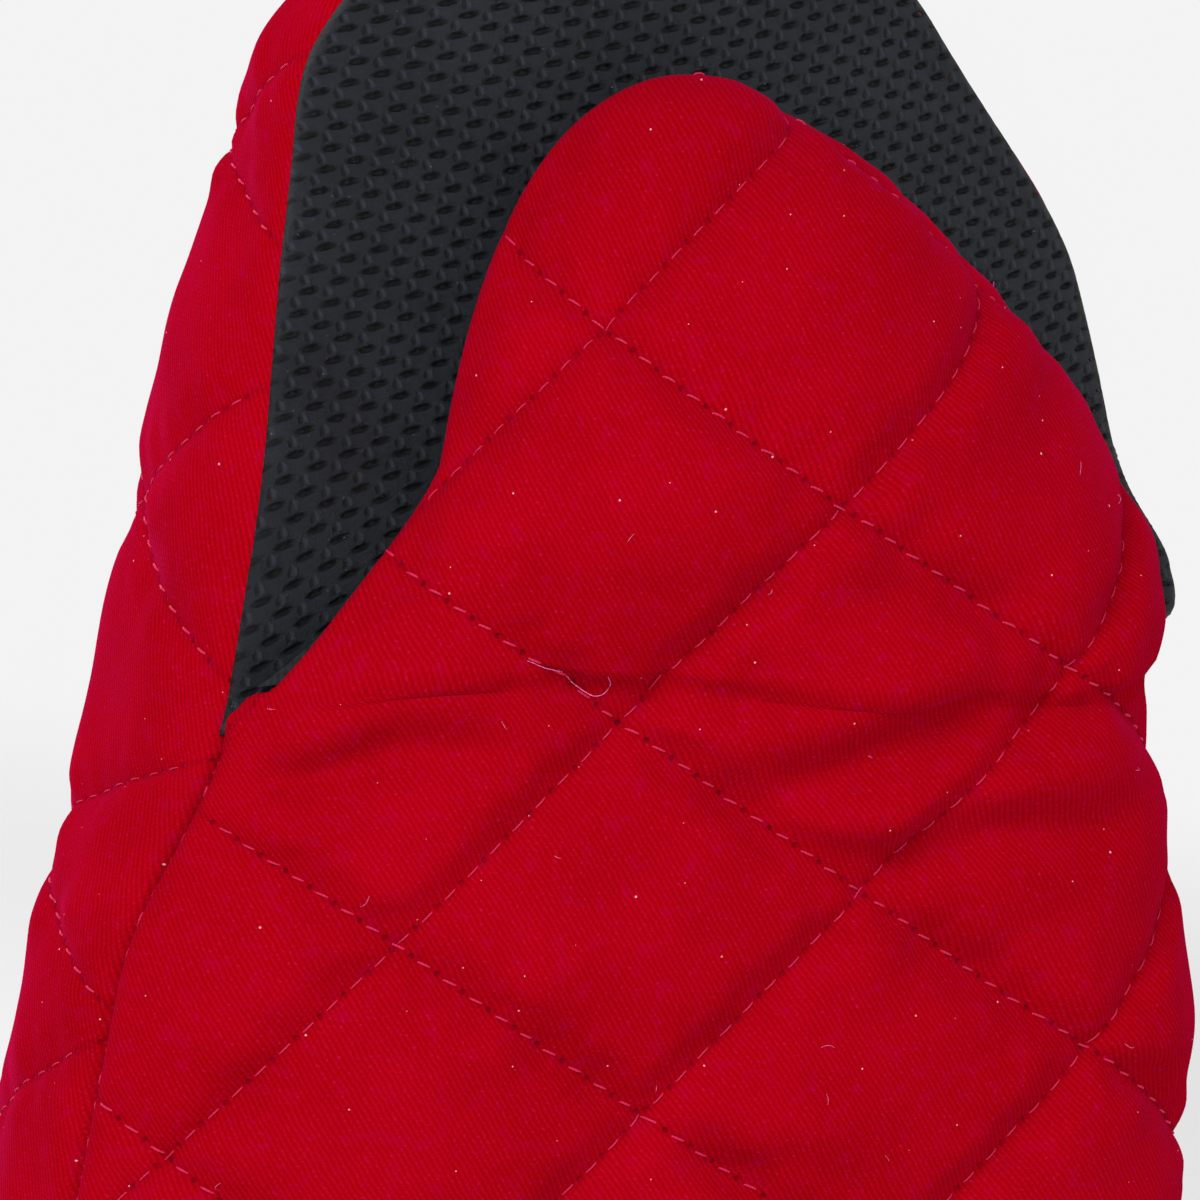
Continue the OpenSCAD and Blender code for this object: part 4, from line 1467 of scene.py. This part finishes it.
@dataclass
class Cuff:
    """The taped rim of the cuff, its stitching, its hanging loop and its blank label."""

    height: float = 12.0
    tape: float = 1.0
    stitch_z: float = 9.5
    stitch_pitch: float = 3.3

    def rim(self, count: int, z: float) -> tuple[np.ndarray, np.ndarray]:
        """Walks evenly round the cuff.

        Args:
            count: Number of points.
            z: Height in mm.

        Returns:
            The points and their outward directions.
        """
        fine = FORM.ring(np.linspace(0, 360, 4001), z)
        s = travel(fine)
        t = np.linspace(0, s[-1], count, endpoint=False)
        p = pick(t, s, fine)
        ahead = unit(np.roll(p, -3, axis=0) - np.roll(p, 3, axis=0))
        return p, np.stack([ahead[:, 1], -ahead[:, 0], 0 * t], -1)

    def section(self, along: np.ndarray) -> np.ndarray:
        """Folds the tape over the rim.

        Args:
            along: Places along the rim, in mm.

        Returns:
            The section at each place: out from the cloth, then up.
        """
        t, h, deep = self.tape, self.height, FORM.cloth
        line = np.array([(0.2, h), (0.55, h + 0.15), (t + 0.05, h - 0.35), (t + 0.3, h - 1.3),
                         (t - 0.05, self.stitch_z),
                         (t + 0.35, h - 4.2), (t + 0.5, h - 6.5), (t + 0.4, 2.6), (t + 0.05, 1.0), (t - 0.7, 0.2),
                         (-0.6, 0.0), (-deep + 0.6, 0.0), (-deep - t + 0.7, 0.2), (-deep - t - 0.05, 1.0),
                         (-deep - t - 0.4, 2.6), (-deep - t - 0.45, h - 6.0), (-deep - t - 0.3, h - 1.2),
                         (-deep - t, h - 0.3), (-deep - 0.55, h + 0.1), (-deep - 0.2, h), (-deep - 0.2, 1.3),
                         (0.2, 1.3)])
        out = np.broadcast_to(line, (len(along), *line.shape)).copy()
        wave = 0.22 * ripple(along[:, None], line[None, :, 1] * 0.8, 19.0, 21)
        out[:, 1:10, 0] += np.abs(wave[:, 1:10])
        return out

    def binding(self) -> bpy.types.Object:
        """Builds the tape.

        Returns:
            The piece.
        """
        path, out = self.rim(360, 6.0)
        path[:, 2] = 0.0
        s = travel(path)
        up = np.broadcast_to([0.0, 0.0, 1.0], path.shape)
        return sweep("cuff_binding_tape", path, out, up, self.section(s), TAPE, True, FORM.place)

    def stitches(self) -> bpy.types.Object:
        """Builds the tape's line of stitches.

        Returns:
            The piece.
        """
        path, out = self.rim(2000, 6.0)
        s = travel(path)
        paths = []
        for k in range(int(s[-1] / self.stitch_pitch)):
            at = k * self.stitch_pitch + np.linspace(0.45, self.stitch_pitch - 0.45, 5)
            p, n = pick(at, s, path), pick(at, s, out)
            p[:, 2] = self.stitch_z
            lift = np.array([0.75, 1.22, 1.32, 1.22, 0.75])
            paths.append(p + n * lift[:, None])
        return strands("binding_stitches", paths, [0.22] * len(paths), THREAD)

    def loop(self) -> bpy.types.Object:
        """Builds the hanging loop from a doubled tape round an open eye.

        Returns:
            The piece.
        """
        low, high = (np.array(p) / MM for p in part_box("hang_loop"))
        middle, radius = (low[1] + high[1]) / 2, (high[1] - low[1]) / 2 - 0.7
        centre, root = high[0] - radius - 0.7, low[0] + 0.4
        span = centre - root
        touch = math.acos(min(1.0, (radius - 0.8) / span))
        arc = np.linspace(math.pi - touch, touch - math.pi, 46)
        bow = np.stack([centre + radius * np.cos(arc), middle + radius * np.sin(arc)], -1)
        legs = np.linspace(0, 1, 14, endpoint=False)[:, None]
        start, end = np.array([root, middle + 0.8]), np.array([root, middle - 0.8])
        flat = np.concatenate([mix(start, bow[0], legs), bow, mix(bow[-1], end, legs + 1 / 14)])
        path = np.column_stack([flat, np.full(len(flat), (low[2] + high[2]) / 2)])
        ahead = unit(np.gradient(path, axis=0))
        side = np.stack([-ahead[:, 1], ahead[:, 0], 0 * ahead[:, 0]], -1)
        up = np.broadcast_to([0.0, 0.0, 1.0], path.shape)
        w, t = (high[2] - low[2]) / 2, 0.62
        section = np.array([(t, -w + 0.5), (t * 1.08, -w * 0.5), (t, 0), (t * 1.08, w * 0.5), (t, w - 0.5),
                            (t * 0.5, w), (-t * 0.5, w), (-t, w - 0.5), (-t * 1.08, w * 0.5), (-t, 0),
                            (-t * 1.08, -w * 0.5), (-t, -w + 0.5), (-t * 0.5, -w), (t * 0.5, -w)])
        return sweep("hanging_loop_tape", path, side, up, section, TAPE, False, lambda p: p * MM)

    def bar_tack(self) -> bpy.types.Object:
        """Builds the two dense rows of thread that hold the loop's ends.

        Returns:
            The piece.
        """
        low, high = (np.array(p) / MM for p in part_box("loop_bar_tack"))
        shift = FORM.place(np.zeros(3)) / MM
        paths = []
        for y in (low[1] + 0.5, high[1] - 0.5):
            for k in range(20):
                z = mix(low[2] + 0.25, high[2] - 0.25, k / 19)
                t = np.linspace(-0.75, 0.75, 5)
                bend = np.array([-0.25, 0.12, 0.2, 0.12, -0.25])
                p = np.stack([high[0] + bend, y + t, z + 0.18 * t], -1)
                paths.append(p - shift)
        return strands("loop_bar_tack_thread", paths, [0.2] * len(paths), THREAD)

    def label(self) -> tuple[bpy.types.Object, tuple[float, float]]:
        """Builds the blank woven label.

        Returns:
            The piece and its flat size in metres.
        """
        rows, cols = 18, 12
        centre, half = 180 + FORM.seam_left * 0.4, 10.0
        v = np.linspace(0, 1, rows)[:, None]
        angle = np.broadcast_to(np.linspace(centre - half, centre + half, cols)[None], (rows, cols))
        base = FORM.ring(angle, mix(6.0, 40.0, v))
        normal = -grid_normals(base)
        if normal[..., 0].mean() < 0:
            normal = -normal
        curled = 6.9 + 1.6 * smooth((v - 0.45) / 0.55) ** 2
        face = base + normal * curled[..., None]
        back = face - normal * 0.35
        size = (float(np.linalg.norm(np.diff(face[9], axis=0), axis=1).sum()) * MM,
                float(np.linalg.norm(np.diff(face[:, 5], axis=0), axis=1).sum()) * MM)
        uv = np.stack(np.broadcast_arrays(np.linspace(0, 14, cols)[None], 34 * v), -1)
        obj = slab("care_label_blank", face, back, uv, 1, [SATIN, SATIN])
        face_out(obj)
        return obj, size


def seam_stitches(name: str, line: np.ndarray, out: np.ndarray, finish: Finish, pitch: float = 4.2,
                  length: float = 2.4, radius: float = 0.17) -> bpy.types.Object:
    """Lays short threads in a seam's groove.

    Args:
        name: The piece's name.
        line: The groove's bottom, in mm.
        out: Direction out of the groove at each point.
        finish: The material.
        pitch: Distance from stitch to stitch.
        length: Visible length of each.
        radius: Thread radius.

    Returns:
        The object.
    """
    s = travel(line)
    paths = []
    for k in range(int((s[-1] - 4) / pitch)):
        at = 2 + k * pitch + np.linspace(0, length, 5)
        p, n = pick(at, s, line), unit(pick(at, s, out))
        paths.append(p + n * np.array([-0.25, 0.2, 0.28, 0.2, -0.25])[:, None])
    return strands(name, paths, [radius] * len(paths), finish)


def stray_fibres(front: FrontPanel) -> bpy.types.Object:
    """Scatters lint, one loose curl of thread and short fuzz over the front.

    Args:
        front: The finished front panel.

    Returns:
        The fibres, as one piece.
    """
    rng = np.random.default_rng(17)
    curl_line = np.array([(-15.8, 203.4), (-13.5, 202.6), (-11.6, 201.9), (-10.4, 200.6), (-9.0, 199.9),
                          (-6.9, 199.2), (-5.5, 199.6), (-5.1, 200.8), (-5.8, 202.3)])
    t = np.linspace(0, len(curl_line) - 1, 25)
    flat = pick(t, np.arange(len(curl_line)), curl_line)
    for _ in range(2):
        flat[1:-1] = (flat[:-2] + 2 * flat[1:-1] + flat[2:]) / 4
    p, n, _ = front.at(flat[:, 0], flat[:, 1])
    paths, radii = [p + n * (0.25 + 0.25 * np.sin(t * 1.7))[:, None]], [0.06]
    for _ in range(50):
        u, v = rng.uniform(-70, 75), rng.uniform(20, 272)
        angle, length = rng.uniform(0, 2 * math.pi), rng.uniform(0.6, 1.8)
        bend = rng.uniform(-0.8, 0.8)
        k = np.linspace(0, 1, 7)
        q, n, inside = front.at(u + length * k * np.cos(angle + bend * k), v + length * k * np.sin(angle + bend * k))
        if inside.all():
            paths.append(q + n * (0.1 + 0.35 * np.sin(math.pi * k))[:, None])
            radii.append(0.03)
    return strands("stray_fibres", paths, radii, LINT, sides=4)


# ---------------------------------------------------------------------------------------------- studio
@dataclass(frozen=True)
class StudioCamera:
    """The camera, low in front of the mitt's left side."""

    turn: float = 24.0
    rise: float = 6.0
    roll: float = 5.5
    distance: float = 800.0
    lens: float = 184.9
    target: tuple[float, float, float] = (-8.3, 0.0, 207.3)

    @property
    def side(self) -> tuple[float, float, float]:
        """Direction to the right in the view, before the roll."""
        return math.cos(math.radians(self.turn)), -math.sin(math.radians(self.turn)), 0.0

    def build(self) -> bpy.types.Object:
        """Places the camera.

        Returns:
            The camera.
        """
        a, e, r = (math.radians(x) for x in (self.turn, self.rise, self.roll))
        back = np.array([-math.sin(a) * math.cos(e), -math.cos(a) * math.cos(e), math.sin(e)])
        right = np.array(self.side)
        up = np.cross(back, right)
        right, up = math.cos(r) * right + math.sin(r) * up, -math.sin(r) * right + math.cos(r) * up
        aim = np.array(self.target) * MM + FORM.origin
        eye = aim + back * self.distance * MM
        data = bpy.data.cameras.new("studio_camera")
        data.lens, data.sensor_width = self.lens, 36.0
        obj = bpy.data.objects.new("studio_camera", data)
        bpy.context.scene.collection.objects.link(obj)
        obj.matrix_world = Matrix([[*row, e3] for row, e3 in zip(np.stack([right, up, back], -1).tolist(), eye)]
                                  + [[0, 0, 0, 1]])
        bpy.context.scene.camera = obj
        return obj


CAMERA = StudioCamera()


class Lamp(Enum):
    """The soft square studio lamps: place and side length in metres, and power in watts."""

    KEY = ((-0.85, -0.9, 1.05), 0.8, 25.0)
    FILL = ((0.95, -0.9, 0.45), 1.1, 7.0)
    RIM = ((-0.5, 0.95, 0.75), 0.8, 7.0)


LAMP_AIM = (-0.02, 0.0, 0.17)
WORLD_LIGHT, WORLD_SEEN = 0.38, 0.516


def hang(lamp: Lamp) -> None:
    """Adds one lamp to the scene, aimed at the mitt.

    Args:
        lamp: The lamp.
    """
    place, size, power = lamp.value
    data = bpy.data.lights.new("lamp_" + lamp.name.lower(), "AREA")
    data.size, data.energy = size, power
    obj = bpy.data.objects.new(data.name, data)
    bpy.context.scene.collection.objects.link(obj)
    obj.location = place
    obj.rotation_euler = (Vector(LAMP_AIM) - Vector(place)).to_track_quat("-Z", "Y").to_euler()


def studio() -> None:
    """Builds the pale floor, the surround and the lamps."""
    scene = bpy.context.scene
    scene.view_settings.view_transform = "Standard"
    bpy.ops.object.select_all(action="DESELECT")
    bpy.ops.mesh.primitive_circle_add(vertices=96, radius=1.6, fill_type="NGON", location=(0, 0, -0.0003))
    floor = bpy.context.object
    floor.name = "pale_floor"
    material = bpy.data.materials.new("pale_floor")
    material.use_nodes = True
    shader = material.node_tree.nodes["Principled BSDF"]
    shader.inputs["Base Color"].default_value = (0.90, 0.90, 0.90, 1)
    shader.inputs["Roughness"].default_value = 0.7
    m = Maker(material.node_tree)
    x, y, _ = m.parts(m.place())
    edge = ((x * x + y * y) ** 0.5).step(500.0, 1500.0)
    clear = m.node("ShaderNodeBsdfTransparent")
    mixed = m.node("ShaderNodeMixShader", None, {0: edge, 1: Sock(m, shader.outputs[0]), 2: clear})
    out = material.node_tree.nodes["Material Output"]
    m.tree.links.new(mixed.link, out.inputs[0])
    floor.data.materials.append(material)
    world = bpy.data.worlds.new("studio_surround")
    scene.world = world
    world.use_nodes = True
    w = Maker(world.node_tree)
    seen = w.node("ShaderNodeLightPath", None, None, "Is Camera Ray")
    sky = world.node_tree.nodes["Background"]
    sky.inputs["Color"].default_value = (1.0, 1.0, 1.0, 1.0)
    w.tree.links.new((seen * WORLD_SEEN + WORLD_LIGHT).link, sky.inputs["Strength"])
    for lamp in Lamp:
        hang(lamp)


# ---------------------------------------------------------------------------------------------- putting it together
CREASES = (
    ([(12.4, 187.2), (25.9, 192.6), (45.5, 202.3)], 2.9, 3.6),
    ([(28.2, 178.8), (46.2, 184.3), (68.0, 184.6)], 2.8, 3.6),
    ([(-48.9, 190.4), (-42.5, 190.1), (-30.3, 192.9), (-12.9, 191.0)], 2.6, 3.6),
    ([(4.2, 139.4), (23.1, 141.3), (35.1, 138.1)], 0.9, 3.2),
    ([(63.5, 151.6), (78.0, 152.0)], 0.8, 2.8),
)


def edge_thickness(panel: QuiltedPanel, seam: float = 1.7, width: float = 10.0) -> np.ndarray:
    """Returns the padded cloth's thickness, thin at every sewn edge."""
    far = np.minimum.reduce([distance_to(panel.base, line) for line, _, _ in panel.seams()])
    return mix(seam + 1.2, FORM.cloth, smooth(far / width))


def main() -> None:
    """Builds every piece in order."""
    logging.basicConfig(level=logging.INFO, format="%(message)s")
    CAMERA.build()
    studio()
    front = FrontPanel("front_panel", 321, 185, FRONT_LATTICE, CREASES, seed=3)
    front.build()
    piece = front.dress(edge_thickness(front), 4, [TWILL_FRONT, LINING])
    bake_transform(piece)
    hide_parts("front_shell", "front_batting", "front_lining", "front_fold", "thumb_shell", "thumb_batting",
                "thumb_lining")
    threads = front.stitches("front_quilting_thread")
    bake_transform(threads)
    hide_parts("front_quilting", "thumb_quilting")
    fibres = stray_fibres(front)
    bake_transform(fibres)

    back = BackPanel("back_panel", 321, 265, BACK_LATTICE, loft=0.5, seed=9)
    back.build()
    piece = back.dress(edge_thickness(back), 4, [TWILL_BACK, LINING])
    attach(piece, "mitt_body")
    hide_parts("back_shell", "back_batting", "back_lining")
    threads = back.stitches("back_quilting_thread")
    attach(threads, "mitt_body")
    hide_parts("back_quilting")

    fingers = FingerGrip("finger_grip_sheet", 253, 321)
    piece = fingers.build()
    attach(piece, "mitt_body")
    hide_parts("finger_grip", "finger_grip_backing", "finger_grip_lining")
    thumb = ThumbGrip("thumb_grip_sheet", 161, 241, True)
    piece = thumb.build()
    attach(piece, "thumb_half")
    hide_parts("thumb_grip", "thumb_grip_backing", "thumb_grip_lining")
    strip = mouth_strip()
    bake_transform(strip)
    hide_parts("mouth_fold")

    z = back.outer[:, 0, 2]
    high, low = z > FORM.mouth + 1, (z > 13) & (z < FORM.mouth - 3)
    rim = np.concatenate([back.outer[high, -1], back.outer[-1, ::-1], back.outer[high, 0][::-1]])
    out = np.concatenate([back.normal[high, -1], back.normal[-1, ::-1], back.normal[high, 0][::-1]])
    piece = seam_stitches("finger_seam_stitches", rim, out, THREAD_DARK)
    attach(piece, "mitt_body")
    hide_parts("finger_seam_thread")
    for side, column in (("left", -1), ("right", 0)):
        piece = seam_stitches(f"{side}_seam_stitches", back.outer[low, column], back.normal[low, column], THREAD)
        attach(piece, "mitt_body")
        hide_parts(f"{side}_seam_thread")
    z = front.outer[:, 0, 2]
    high = z > FORM.mouth + 6
    rim = np.concatenate([front.outer[high, 0], front.outer[-1], front.outer[high, -1][::-1]])
    out = np.concatenate([front.normal[high, 0], front.normal[-1], front.normal[high, -1][::-1]])
    piece = seam_stitches("thumb_seam_stitches", rim, out, THREAD)
    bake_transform(piece)
    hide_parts("thumb_seam_thread")

    cuff = Cuff()
    for piece, node, slot, body in ((cuff.binding(), "cuff_binding", "tape_red", "mitt_body"),
                                    (cuff.stitches(), "binding_thread", "thread_red", "mitt_body"),
                                    (cuff.loop(), "hang_loop", "tape_red", "loop"),
                                    (cuff.bar_tack(), "loop_bar_tack", "thread_red", "mitt_body")):
        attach(piece, body)
        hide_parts(node)
    piece, size = cuff.label()
    log.info("label flat size %s", size)
    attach(piece, "mitt_body")
    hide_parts("care_label")
    for obj in bpy.data.objects:
        if obj.type == "MESH" and not obj.hide_render:
            log.info("%s: %d faces", obj.name, len(obj.data.polygons))
    bpy.context.view_layer.update()


if __name__ == "__main__":
    main()
